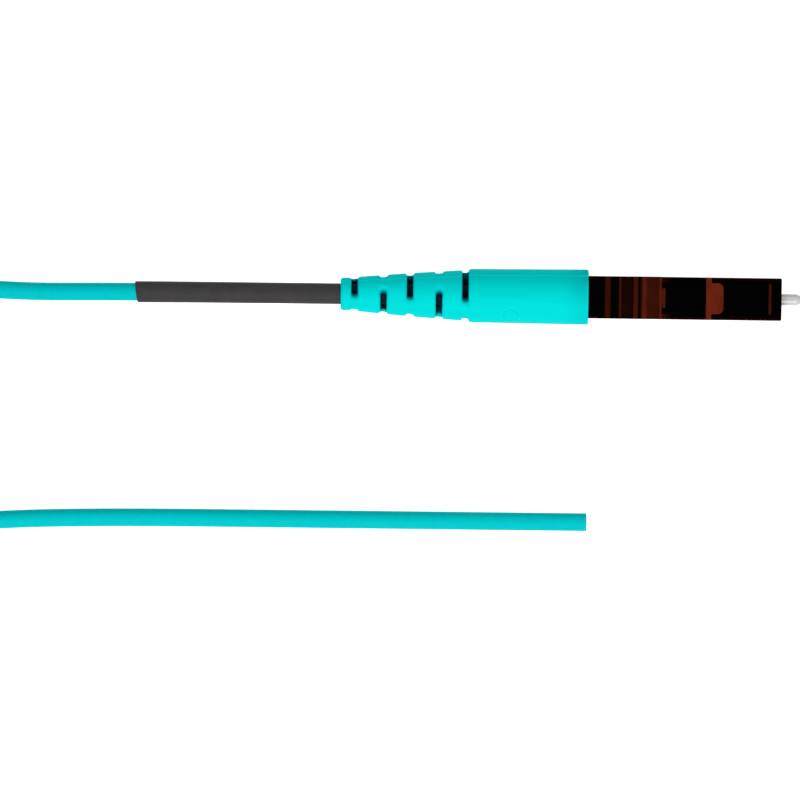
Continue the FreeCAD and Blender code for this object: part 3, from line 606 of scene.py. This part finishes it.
class FIBRE_OT_cord(Operator):
    """Lay the cord from the boot, round the coil and back to its bare end"""

    bl_idname = "fibre.cord"
    bl_label = "Cord"

    def execute(self, context):
        wide = sizes().cord_wide
        data = bpy.data.curves.new("cord", "CURVE")
        data.dimensions = "3D"
        data.resolution_u = CORD_STEPS
        data.bevel_depth = wide / 2
        data.bevel_resolution = CORD_SIDES
        data.use_fill_caps = True
        route = list(UPPER_ROUTE) + coil_points(wide) + list(LOWER_ROUTE)
        line = data.splines.new("NURBS")
        line.points.add(len(route) - 1)
        for point, place in zip(line.points, route):
            point.co = (*place, 1)
        line.order_u = 3
        line.use_endpoint_u = True
        line.use_smooth = True
        cord = bpy.data.objects.new("cord", data)
        context.collection.objects.link(cord)
        data.materials.append(satin_plastic("cord_jacket", colours().jacket, 0.08 * MM, 0.5, 0.014)[0])
        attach(cord, "housing")
        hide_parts("cord_upper", "cord_coil", "cord_lower")
        self.add_cut_end(cord, wide / 2)
        return {"FINISHED"}

    def add_cut_end(self, cord, jacket_radius):
        """The cord's cut end: its jacket, the yarn inside it, the tight buffer and the fibre."""
        line = route_points(cord, lambda point: point.y < COIL_CENTRE.y and point.x > 0)
        end = max(line, key=lambda point: point.x)
        # the tube stops a little short of its line
        end.x = max(point.x for point in drawn_points(cord) if point.y < COIL_CENTRE.y)
        jacket = jacket_radius / MM
        outline = (
            (-0.03, jacket - 0.02), (0.0, jacket), (0.02, jacket), (0.035, jacket - 0.02), (0.035, 0.6),
            (0.01, 0.59), (0.02, 0.56), (0.05, 0.53), (0.03, 0.5), (0.055, 0.48), (0.02, 0.45),
            (0.055, 0.45), (0.065, 0.43), (0.065, 0.08), (0.07, 0.06), (0.07, 0.0),
        )
        maker = bmesh.new()
        turned_outline(maker, [(end.x + x * MM, radius * MM) for x, radius in outline], 48, end)
        rim = [edge for edge in maker.edges if edge.is_boundary]
        bmesh.ops.contextual_create(maker, geom=rim)
        finish_mesh("cord_end", maker, "housing", self.end_finish(end))

    def end_finish(self, end):
        """From the middle outwards: glass, pale buffer, yellow yarn and the jacket."""
        material, shader = new_material("cord_end", 0.55, specular=0.1, colour=(0.8, 0.6, 0.2))
        _, y, z = axes_of(material, centre=end)
        radius = length_of(material, Y=y, Z=z)
        strands = noise(material, 0.03 * MM, 2.0)
        layers = {
            "buffer": (0.82, 0.83, 0.8),
            "yarn": between(material, spread(material, strands, *YARN_SPAN), *YARN_TONES),
            "jacket": colours().jacket,
        }
        colour = (0.9, 0.96, 1.0)
        for name, (start, full) in CUT_LAYERS.items():
            reached = spread(material, radius, start * MM, full * MM)
            colour = between(material, reached, colour, layers[name])
        set_colour(material, shader, colour)
        set_bump(material, shader, strands, 0.006 * MM)
        return material


# ---- boot


def behind_nose(x):
    """Millimetres behind the nose face."""
    return (NOSE_X - x) / MM


def radius_on(outline, back):
    """An outline's radius at a distance behind the nose, in millimetres."""
    for (start, first), (end, last) in zip(outline, outline[1:]):
        if back <= end:
            return first + (last - first) * max(0.0, back - start) / (end - start)
    return outline[-1][1]


def around_axis(back, radius, angle):
    """A point at a distance behind the nose, all in millimetres, and an angle from the latch side."""
    turn = math.radians(angle)
    return Vector((NOSE_X - back * MM, radius * MM * math.sin(turn), AXIS_Z + radius * MM * math.cos(turn)))


def angle_of(place):
    """A point's angle round the plug's axis, in degrees from the latch side."""
    return math.degrees(math.atan2(place.y, place.z - AXIS_Z))


def out_from_axis(place):
    return math.hypot(place.y, place.z - AXIS_Z)


def slot_middles(row):
    """Angles of the two opposite slots of a row, which look to two sides in turn."""
    first = SLOT_TURN if row % 2 == 0 else SLOT_TURN - 90
    return first, first + 180


def slot_station(row):
    """Where a row's slots have their middle. Every second row stands a little further forward."""
    return FIRST_SLOT + row * SLOT_PITCH - (SLOT_STAGGER if row % 2 else 0)


def slot_halves(row):
    """How far a slot opens in the skin, in front of its middle and behind it."""
    return (FIRST_SLOT_HALF if row == 0 else SLOT_HALF), SLOT_HALF


def boot_stations():
    """Stations of the skin's rings: closer together at the rims, the step and the slots."""
    stations = [back for back, _ in BOOT_SKIN] + list(RINGS_ADDED)
    for row in range(SLOT_ROWS):
        middle = slot_station(row)
        front, rear = slot_halves(row)
        stations += [middle - front, middle, middle + rear]
        if row > 0:
            stations += [middle - front - RIM_GAP, middle - SLOT_PITCH / 2]
        if row < SLOT_ROWS - 1:
            stations += [middle + rear + RIM_GAP]
    return sorted(set(round(back, 3) for back in stations) - RINGS_LEFT_OUT)


def slot_of(place):
    """The slot whose opening or rim holds a grid point: its row, middle, side and angles, or nothing."""
    back, angle = behind_nose(place.x), angle_of(place)
    for row in range(SLOT_ROWS):
        middle = slot_station(row)
        front, rear = slot_halves(row)
        if not middle - front - 0.01 <= back <= middle + rear + 0.01:
            continue
        for turned_to in slot_middles(row):
            away = (angle - turned_to + 180) % 360 - 180
            if abs(away) < STRAIGHT_STEPS + 2.2 * GRID_STEP:
                side = 0 if abs(back - middle) < 0.01 else math.copysign(1, back - middle)
                return row, middle, side, turned_to, away
    return None


def slot_rim(found, half, end, radius):
    """Where a rim point of a slot stands when the rim is a straight slot with round ends."""
    _, middle, side, turned_to, away = found
    cap = math.degrees(half / radius)
    straight = end - cap
    beyond = (abs(away) - STRAIGHT_STEPS) / GRID_STEP
    if beyond < 0.5:
        reach, wide = abs(away) * straight / STRAIGHT_STEPS, half
    elif side == 0:
        reach, wide = end, 0.0
    else:
        share = math.radians(30 * beyond)
        reach, wide = straight + cap * math.sin(share), half * math.cos(share)
    return middle + side * wide, turned_to + math.copysign(reach, away)


def place_on_boot(vertex, layer):
    """Move a grid point to the skin, to the foot of the slots' flare, or to the hollow."""
    back, angle = behind_nose(vertex.co.x), angle_of(vertex.co)
    found = slot_of(vertex.co)
    skin = radius_on(BOOT_SKIN, back)
    narrow = sizes().slot_wide / MM / 2
    flare = sizes().slot_flare / MM
    if found:
        front, rear = slot_halves(found[0])
        half = front if found[2] < 0 else rear
        end = SLOT_ENDS[found[0]]
        if layer != "skin":
            half = narrow
            end -= math.degrees(SLOT_RAMP / skin)
        if abs(found[4]) > STRAIGHT_STEPS:
            flare = SLOT_RAMP_DEPTH
        back, angle = slot_rim(found, half, end, skin)
        skin = radius_on(BOOT_SKIN, back)
    radius = {"skin": skin, "foot": skin - flare, "hollow": radius_on(BOOT_HOLLOW, back)}[layer]
    vertex.co = around_axis(back, radius, angle)


class FIBRE_OT_boot(Operator):
    """Mould the boot: its tapered skin, its rows of slots and its hollow"""

    bl_idname = "fibre.boot"
    bl_label = "Boot"

    def execute(self, context):
        maker = bmesh.new()
        outline = [(NOSE_X - back * MM, radius_on(BOOT_SKIN, back) * MM) for back in boot_stations()]
        turned_outline(maker, outline, 360 // GRID_STEP)
        opened = [face for face in maker.faces if slot_of(face.calc_center_median())]
        # each row has two slots, with two faces along them and as many steps to both sides of their middle
        expected = SLOT_ROWS * 2 * 2 * 2 * (STRAIGHT_STEPS // GRID_STEP + 2)
        if len(opened) != expected:
            raise RuntimeError(f"the boot's slots opened {len(opened)} faces and not {expected}")
        bmesh.ops.delete(maker, geom=opened, context="FACES")
        moved = bmesh.ops.extrude_face_region(maker, geom=maker.faces[:], use_keep_orig=True)
        # the copy stands at half the radius, so that the rings cut across the walls can be told apart
        for item in moved["geom"]:
            if isinstance(item, bmesh.types.BMVert):
                item.co = (AXIS + Vector((item.co.x, 0, 0))).lerp(item.co, 0.5)
        walls = [
            edge for edge in maker.edges
            if edge.calc_length() > 0.4 * out_from_axis(edge.verts[0].co) and slot_of(edge.verts[0].co)
        ]
        bmesh.ops.subdivide_edges(maker, edges=walls, cuts=1, use_grid_fill=True)
        for vertex in maker.verts:
            share = out_from_axis(vertex.co) / MM / radius_on(BOOT_SKIN, behind_nose(vertex.co.x))
            place_on_boot(vertex, "skin" if share > 0.9 else "foot" if share > 0.6 else "hollow")
        piece = finish_mesh("boot_skin", maker, "housing", self.finish(), ["boot"])
        smooth = piece.modifiers.new("rounded", "SUBSURF")
        smooth.levels = 1
        smooth.render_levels = 1
        return {"FINISHED"}

    def finish(self):
        """Soft satin plastic with the marks of its mould in painted highlights and painted shade, and painted
        shade at its front and inside its slots.
        """
        plastic = colours().boot
        material, shader = satin_plastic("boot_plastic", plastic, 0.09 * MM, 0.5, 0.008, drawn=(0.1, 1, 1))
        colour = shader.inputs["Base Color"].links[0].from_socket
        grain = shader.inputs["Normal"].links[0].from_socket
        # Painted highlights and painted shade: the light line on the parting ridge and front rim, the
        # ejector's light ring and its darker groove, and the shade at the front.
        marks = {
            "shade": self.front_shade(material),
            "line": largest(material, self.parting_ridge_and_highlight(material), self.front_rim_highlight(material)),
            "ring": self.ejector_ring(material, EJECTOR_RADIUS),
            "groove": self.ejector_ring(material, GROOVE_RADIUS),
        }
        for name, (strength, tone) in MARK_TONES.items():
            colour = between(material, product(material, marks[name], strength), colour, tint(plastic, tone))
        shade = product(material, self.slot_shade(material), SHADE_STRENGTH)
        set_colour(material, shader, between(material, shade, colour, SLOT_SHADE))
        ridge = new_node(material, "ShaderNodeBump", {
            "Height": worked_out(material, "SUBTRACT", marks["line"], marks["groove"]),
            "Distance": RIDGE_HIGH, "Normal": grain,
        })
        material.node_tree.links.new(ridge.outputs["Normal"], shader.inputs["Normal"])
        return material

    def thin_line(self, material, away, soft_from):
        """One where a distance is next to nothing, fading out softly from a distance on."""
        distance = worked_out(material, "ABSOLUTE", away)
        return spread(material, distance, soft_from, 0.09 * MM, 1.0, 0.0, smooth=True)

    def parting_ridge_and_highlight(self, material):
        """A fine ridge along the boot, where the halves of the mould met, with a painted highlight along it.
        """
        _, y, _ = axes_of(material, centre=AXIS, turn=(math.radians(PARTING_ANGLE), 0, 0))
        return self.thin_line(material, y, 0.03 * MM)

    def front_rim_highlight(self, material):
        """A painted highlight along the front rim."""
        rim = NOSE_X - BOOT_SKIN[1][0] * MM
        return spread(material, axes_of(material)["X"], rim - 0.1 * MM, rim, smooth=True)

    def front_shade(self, material):
        """A soft darker patch at the front of the skin, deeper towards +Y."""
        x, y, _ = axes_of(material)
        start, full = (NOSE_X - back * MM for back in FRONT_SHADE)
        along = spread(material, x, start, full, smooth=True)
        return product(material, along, spread(material, y, *FRONT_SHADE_SIDES))

    def ejector_ring(self, material, radius):
        """A ring of the ejector's round mark, on the near side of the skin only."""
        centre = around_axis(EJECTOR_BACK, radius_on(BOOT_SKIN, EJECTOR_BACK), EJECTOR_ANGLE)
        x, y, z = axes_of(material, centre=centre, turn=(math.radians(EJECTOR_ANGLE), 0, 0))
        off = worked_out(material, "SUBTRACT", length_of(material, X=x, Y=y), radius)
        near_side = spread(material, z, -1.5 * MM, -1.4 * MM)
        return product(material, self.thin_line(material, off, 0.02 * MM), near_side)

    def slot_shade(self, material):
        """One inside the slots and the hollow behind them, and none on the skin and at the boot's ends."""
        x, y, z = axes_of(material, centre=AXIS)
        (front, front_radius), (rear, rear_radius) = BOOT_SKIN[3], BOOT_SKIN[5]
        front, rear = NOSE_X - front * MM, NOSE_X - rear * MM
        skin = spread(material, x, front, rear, front_radius * MM, rear_radius * MM)
        depth = worked_out(material, "SUBTRACT", skin, length_of(material, Y=y, Z=z))
        return product(
            material,
            spread(material, depth, *SHADE_DEPTHS, smooth=True),
            spread(material, x, rear - 0.4 * MM, rear - 0.1 * MM),
            spread(material, x, front + 0.8 * MM, front + 0.4 * MM),
            spread(material, y, *SHADE_SIDES),
        )


# ---- sleeve


def follow_line(maker, points, radius_at, sides):
    """Skin a round tube over points: rings that look along the line, bridged one to the next."""
    last_ring = None
    for index, point in enumerate(points):
        before = points[max(0, index - 1)]
        after = points[min(len(points) - 1, index + 1)]
        along = (after - before).normalized()
        across = Vector((0, 1, 0)).cross(along).normalized()
        turn = Matrix((across, along.cross(across), along)).transposed().to_4x4()
        ring = bmesh.ops.create_circle(
            maker, segments=sides, radius=radius_at(point), matrix=Matrix.Translation(point) @ turn
        )
        edges = list({edge for vertex in ring["verts"] for edge in vertex.link_edges if edge.is_wire})
        if last_ring:
            bmesh.ops.bridge_loops(maker, edges=last_ring + edges)
        last_ring = edges


class FIBRE_OT_sleeve(Operator):
    """Shrink the sleeve over the cord behind the crimp"""

    bl_idname = "fibre.sleeve"
    bl_label = "Sleeve"

    def execute(self, context):
        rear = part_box("heat_shrink")[0].x + SLEEVE_SHORTER
        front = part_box("heat_shrink")[1].x
        line = route_points(bpy.data.objects["cord"], lambda point: point.y > -0.003 and point.x > -0.06)
        points = self.even_points(line, front, rear, SLEEVE_RING_GAP)
        outer = sizes().cord_wide / 2 + SLEEVE_AIR + sizes().sleeve_wall
        maker = bmesh.new()

        def radius_at(point):
            """The sleeve is a touch thinner along its middle, and uneven where it shrank."""
            turn = math.pi * (point.x - rear) / (front - rear)
            return outer - SLEEVE_WAIST * math.sin(turn) + SLEEVE_WAVE * math.sin(9 * turn)

        follow_line(maker, points, radius_at, SLEEVE_SIDES)
        bmesh.ops.recalc_face_normals(maker, faces=maker.faces)
        # the rear end is cut at a slant
        for vertex in maker.verts:
            if vertex.co.x < rear + SLEEVE_CUT:
                vertex.co.x -= SLEEVE_SLANT * vertex.co.y
        walled = bmesh.ops.solidify(maker, geom=maker.faces[:], thickness=sizes().sleeve_wall)
        if not walled["geom"]:
            raise RuntimeError("the sleeve got no wall")
        piece = finish_mesh("sleeve", maker, "housing", self.finish(), ["heat_shrink"])
        ease_edges(piece, "soft_ends", 0.03 * MM, 40)
        return {"FINISHED"}

    def even_points(self, line, front, rear, gap):
        """Points a gap apart along a line that runs from front to rear, with its ends at the two stations."""
        line = sorted(line, key=lambda point: -point.x)
        count = round((front - rear) / gap)
        points = []
        for step in range(count + 1):
            x = front + (rear - front) * step / count
            after = next(index for index, point in enumerate(line) if point.x <= x)
            start, end = line[after - 1], line[after]
            points.append(start.lerp(end, (start.x - x) / (start.x - end.x)))
        return points

    def finish(self):
        """Shrunk black tube: satin, faintly streaked along its length, and in shade inside the boot."""
        colour = colours().sleeve
        material, shader = new_material("sleeve_plastic", 0.5, specular=0.04, colour=colour)
        streaks = noise(material, 0.35 * MM, 4.0, stretch=(0.12, 1, 1))
        patches = noise(material, 1.6 * MM, 2.0)
        worn = tones(material, patches, colour, 0.92, 1.08)
        streaked = between(
            material, spread(material, streaks, 0.45, 0.75, 0.0, 0.35), worn, tint(colour, 1.35)
        )
        inside = spread(material, axes_of(material)["X"], BOOT_REAR_X + 0.1 * MM, BOOT_REAR_X + 0.9 * MM)
        set_colour(material, shader, between(material, inside, streaked, tint(SLOT_SHADE, 0.5)))
        set_roughness(material, shader, streaks, 0.46, 0.6)
        set_bump(material, shader, streaks, 0.006 * MM)
        return material


# ---- tie


class FIBRE_OT_tie(Operator):
    bl_idname = "fibre.tie"
    bl_label = "Tie"

    def execute(self, context):
        low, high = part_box("coil_tie")
        coil_low, coil_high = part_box("cord_coil")
        bundle = (coil_high.z - coil_low.z) / 2
        middle = Vector((low.x + STRAP_INSET + bundle, COIL_CENTRE.y, (low.z + high.z) / 2))
        half = bundle + STRAP_GAP + STRAP_THICK
        maker = bmesh.new()
        lapped = self.round_path(middle, half, STRAP_CORNER)
        self.add_band(maker, lapped, closed=True)
        top = self.round_path(middle, half + STRAP_THICK, STRAP_CORNER + STRAP_THICK)
        tail = [point for point in top if point.z > middle.z + half * STRAP_END]
        tail.sort(key=lambda point: math.atan2(point.z - middle.z, point.x - middle.x))
        self.add_band(maker, tail, closed=False)
        piece = finish_mesh("strap", maker, "housing", self.finish(), ["coil_tie"])
        ease_edges(piece, "soft_edges", 0.04 * MM, 40)
        return {"FINISHED"}

    def round_path(self, middle, half, corner):
        """A square path with round corners in the plane across the strap."""
        points = []
        for quarter in range(4):
            for step in range(9):
                angle = math.radians(90 * quarter + 90 * step / 8)
                centre_turn = math.radians(90 * quarter + 45)
                reach = (half - corner) * math.sqrt(2)
                points.append(middle + Vector((
                    reach * math.cos(centre_turn) + corner * math.cos(angle), 0,
                    reach * math.sin(centre_turn) + corner * math.sin(angle),
                )))
        return points

    def add_band(self, maker, points, closed):
        """A band of fabric along points, to both sides of their plane, walled inwards."""
        rows = 7
        corners = [maker.verts.new(point - Vector((0, STRAP_WIDE / 2, 0))) for point in points]
        pairs = list(zip(corners, corners[1:] + ([corners[0]] if closed else [])))
        edges = [maker.edges.new(pair) for pair in pairs]
        faces = []
        for _ in range(rows - 1):
            moved = bmesh.ops.extrude_edge_only(maker, edges=edges)["geom"]
            vertices = [item for item in moved if isinstance(item, bmesh.types.BMVert)]
            edges = [item for item in moved if isinstance(item, bmesh.types.BMEdge)]
            faces += [item for item in moved if isinstance(item, bmesh.types.BMFace)]
            bmesh.ops.translate(maker, verts=vertices, vec=(0, STRAP_WIDE / (rows - 1), 0))
        bmesh.ops.recalc_face_normals(maker, faces=faces)
        bmesh.ops.solidify(maker, geom=faces, thickness=STRAP_THICK)

    def finish(self):
        """Black woven strap."""
        material, shader = new_material("strap", 0.85, specular=0.2, colour=(0.02, 0.02, 0.021))
        spot = place_of(material)
        weave = [
            new_node(material, "ShaderNodeTexWave", {
                "Vector": spot, "Scale": 1 / (0.32 * MM), "Distortion": 0.6, "Detail": 1.0,
            }, wave_type="BANDS", bands_direction=direction).outputs["Fac"]
            for direction in ("X", "Y", "Z")
        ]
        cloth = product(material, largest(material, weave[0], weave[2]), weave[1])
        set_colour(material, shader, between(material, cloth, (0.012, 0.012, 0.013), (0.045, 0.045, 0.047)))
        set_bump(material, shader, cloth, 0.04 * MM)
        return material


# ---- spring


class FIBRE_OT_spring(Operator):
    """Wind the spring between the ferrule's flange and the backpost"""

    bl_idname = "fibre.spring"
    bl_label = "Spring"

    def execute(self, context):
        low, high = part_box("spring")
        wire = sizes().spring_wire
        mean = (high.z - low.z) / 2 - wire / 2
        steps = 28
        closed_pitch = 1.04 * wire
        length = high.x - low.x - wire - 2 * closed_pitch
        open_pitch = length / sizes().spring_turns
        maker = bmesh.new()
        start = Vector((low.x + wire / 2, 0, AXIS_Z + mean))
        ring = bmesh.ops.create_circle(
            maker, segments=12, radius=wire / 2,
            matrix=Matrix.Translation(start) @ Matrix.Rotation(math.pi / 2, 4, "X"),
        )
        moving = list({edge for vertex in ring["verts"] for edge in vertex.link_edges}) + ring["verts"]
        for turns, pitch in ((1, closed_pitch), (sizes().spring_turns, open_pitch), (1, closed_pitch)):
            count = round(turns * steps)
            spun = bmesh.ops.spin(
                maker, geom=moving, cent=AXIS, axis=(1, 0, 0), angle=2 * math.pi * turns, steps=count,
                dvec=(pitch * turns / count, 0, 0), use_duplicate=False,
            )
            moving = spun["geom_last"]
        bmesh.ops.remove_doubles(maker, verts=maker.verts, dist=0.0005 * MM)
        bmesh.ops.holes_fill(maker, edges=[edge for edge in maker.edges if edge.is_boundary], sides=0)
        material = machined("spring_steel", (0.5, 0.5, 0.5), 0.28, 0.05 * MM, (0.3, 1, 1))
        piece = finish_mesh("spring_wire", maker, "housing", material, ["spring"])
        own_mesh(piece)
        return {"FINISHED"}


# ---- plug body and the pieces inside it


def machined(name, colour, roughness, grain, stretch=(1, 1, 1)):
    """Bare metal with fine tool marks."""
    material, shader = new_material(name, roughness, metallic=1.0, colour=colour)
    marks = noise(material, grain, 3.0, stretch)
    set_colour(material, shader, tones(material, marks, colour, 0.94, 1.06))
    set_roughness(material, shader, marks, roughness - 0.06, roughness + 0.1)
    set_bump(material, shader, marks, 0.003 * MM)
    return material


def band(material, back, start, end, soft=0.05):
    """One between two stations behind the nose in millimetres, and none outside them."""
    rising = spread(material, back, start - soft, start + soft)
    falling = spread(material, back, end - soft, end + soft, 1.0, 0.0)
    return product(material, rising, falling)


def eased_copy(node, body, material):
    """A copy of a CAD node with its flat faces whole and its sharp edges eased, which stands for the node."""
    maker = bmesh.new()
    maker.from_mesh(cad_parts[node].data)
    bmesh.ops.remove_doubles(maker, verts=maker.verts, dist=0.0005 * MM)
    bmesh.ops.dissolve_limit(
        maker, angle_limit=math.radians(1), verts=maker.verts, edges=maker.edges, delimit=set()
    )
    piece = finish_mesh(f"{node}_moulding", maker, body, material, [node], smooth=False)
    ease_edges(piece, "eased", sizes().edge, 32)


class FIBRE_OT_plug(Operator):
    """Ease the plug's moulded edges and give its plastic, metal and ceramic their finishes"""

    bl_idname = "fibre.plug"
    bl_label = "Plug"

    def execute(self, context):
        eased_copy("plug_housing", "housing", self.body_finish("front_plastic", self.front_light))
        eased_copy("rear_housing", "housing", self.body_finish("rear_plastic", self.rear_light))
        eased_copy("latch_arm", "latch", self.body_finish("latch_plastic", self.latch_light))
        eased_copy("trigger_arm", "trigger", self.body_finish("trigger_plastic", self.trigger_light))
        dress_node("ferrule", self.ceramic_finish())
        for node, *finish in METALS:
            dress_node(node, machined(*finish))
        for node, *finish in PLASTICS:
            dress_node(node, satin_plastic(*finish)[0])
        dress_node("aramid_yarn", self.yarn_finish())
        dress_node("fibre", self.glass_finish())
        return {"FINISHED"}

    def body_finish(self, name, light):
        """Dark red-brown plastic, nearly black, and brown where light is painted on it."""
        thick, lit_tone = colours().body, colours().body_painted_light
        material, shader = new_material(name, 0.32, specular=0.004, colour=thick)

        def in_mm(first, second):
            return worked_out(material, "DIVIDE", worked_out(material, "SUBTRACT", first, second), MM)

        x, y, z = axes_of(material)
        back = in_mm(NOSE_X, x)
        up = in_mm(z, AXIS_Z)
        side = worked_out(material, "ABSOLUTE", in_mm(y, 0.0))
        cloud = spread(material, noise(material, 0.9 * MM, 3.0, (1, 0.5, 1)), *NOISE_SPAN, 0.75, 1.1)
        # The share of painted light, broken up by a soft cloud.
        through = product(material, light(material, back, up, side), cloud)
        set_colour(material, shader, between(material, through, thick, lit_tone))
        fine = noise(material, 0.05 * MM, 3.0)
        set_roughness(material, shader, fine, 0.26, 0.4)
        set_bump(material, shader, fine, 0.002 * MM)
        return material

    def edge_light(self, material, up, side):
        """Painted light along the long outer edges."""
        faint = spread(material, side, *FAINT_EDGE_SIDES)
        strong = spread(material, side, *STRONG_EDGE_SIDES)
        high = spread(material, worked_out(material, "ABSOLUTE", up), *EDGE_HIGH)
        return product(material, largest(material, faint, strong), high)

    def front_light(self, material, back, up, side):
        """Painted light on the front half: along its edges, beside the tab and in front of the latch's root.
        """
        edges = product(material, self.edge_light(material, up, side), band(material, back, *FRONT_EDGES))
        root = product(
            material, band(material, back, *ROOT_LIT), ROOT_STRENGTH, spread(material, side, *ROOT_SIDES)
        )
        beside = product(
            material, spread(material, back, *BESIDE_TAB_LIT, smooth=True),
            spread(material, side, *BESIDE_TAB_SIDES),
        )
        on_top = product(material, largest(material, root, beside), spread(material, up, *TOP_HIGH))
        return largest(material, edges, on_top)

    def rear_light(self, material, back, up, side):
        """Painted light along the rear half's edges."""
        return self.edge_light(material, up, side)

    def latch_light(self, material, back, up, side):
        """Painted light on the wings."""
        return product(material, band(material, back, *WINGS_LIT), spread(material, up, *WINGS_HIGH))

    def trigger_light(self, material, back, up, side):
        """Painted light on the block and the thumb ribs, strongest at their edges."""
        return largest(material, *(
            product(material, band(material, back, start, end, soft), strength)
            for start, end, strength, soft in TRIGGER_LIT
        ))

    def ceramic_finish(self):
        """Polished zirconia: dense, pale and glossy."""
        colour = colours().ceramic
        material, shader = new_material("ceramic", 0.14, specular=0.45, colour=colour)
        cloud = noise(material, 0.2 * MM, 2.0)
        set_colour(material, shader, between(material, cloud, tint(colour, 0.97), tint(colour, 1.03)))
        set_roughness(material, shader, cloud, 0.1, 0.16)
        return material

    def yarn_finish(self):
        """Straight yellow filaments."""
        material, shader = new_material("aramid", 0.6, specular=0.4, colour=(0.78, 0.6, 0.18))
        strands = noise(material, 0.04 * MM, 2.0, (0.04, 1, 1))
        set_colour(material, shader, between(material, spread(material, strands, *YARN_SPAN), *YARN_TONES))
        set_bump(material, shader, strands, 0.015 * MM)
        return material

    def glass_finish(self):
        """Clear glass with a faintly uneven polish."""
        material, shader = new_material("glass", 0.05, specular=0.5, colour=(0.9, 0.95, 1.0))
        shader.inputs["Transmission Weight"].default_value = 0.8
        cloud = noise(material, 0.05 * MM, 1.0)
        set_roughness(material, shader, cloud, 0.03, 0.07)
        return material


# ---- sidebar


class FIBRE_PT_panel(Panel):
    """Sizes, colours and pieces of the fibre connector"""

    bl_label = "Fibre connector"
    bl_idname = "FIBRE_PT_panel"
    bl_space_type = "VIEW_3D"
    bl_region_type = "UI"
    bl_category = "Fibre"

    def draw(self, context):
        for group in (context.scene.fibre_sizes, context.scene.fibre_colours):
            box = self.layout.box()
            for name in group.__annotations__:
                box.prop(group, name)
        for operator in OPERATORS:
            self.layout.operator(operator.bl_idname)


OPERATORS = (
    FIBRE_OT_stage,
    FIBRE_OT_cord,
    FIBRE_OT_boot,
    FIBRE_OT_sleeve,
    FIBRE_OT_tie,
    FIBRE_OT_spring,
    FIBRE_OT_plug,
)
CLASSES = (FibreSizes, FibreColours, *OPERATORS, FIBRE_PT_panel)


def register():
    for item in CLASSES:
        bpy.utils.register_class(item)
    bpy.types.Scene.fibre_sizes = PointerProperty(type=FibreSizes)
    bpy.types.Scene.fibre_colours = PointerProperty(type=FibreColours)


def unregister():
    del bpy.types.Scene.fibre_colours
    del bpy.types.Scene.fibre_sizes
    for item in reversed(CLASSES):
        bpy.utils.unregister_class(item)


def main():
    register()
    bpy.ops.fibre.stage()
    bpy.ops.fibre.cord()
    bpy.ops.fibre.boot()
    bpy.ops.fibre.sleeve()
    bpy.ops.fibre.tie()
    bpy.ops.fibre.spring()
    bpy.ops.fibre.plug()


if __name__ == "__main__":
    main()
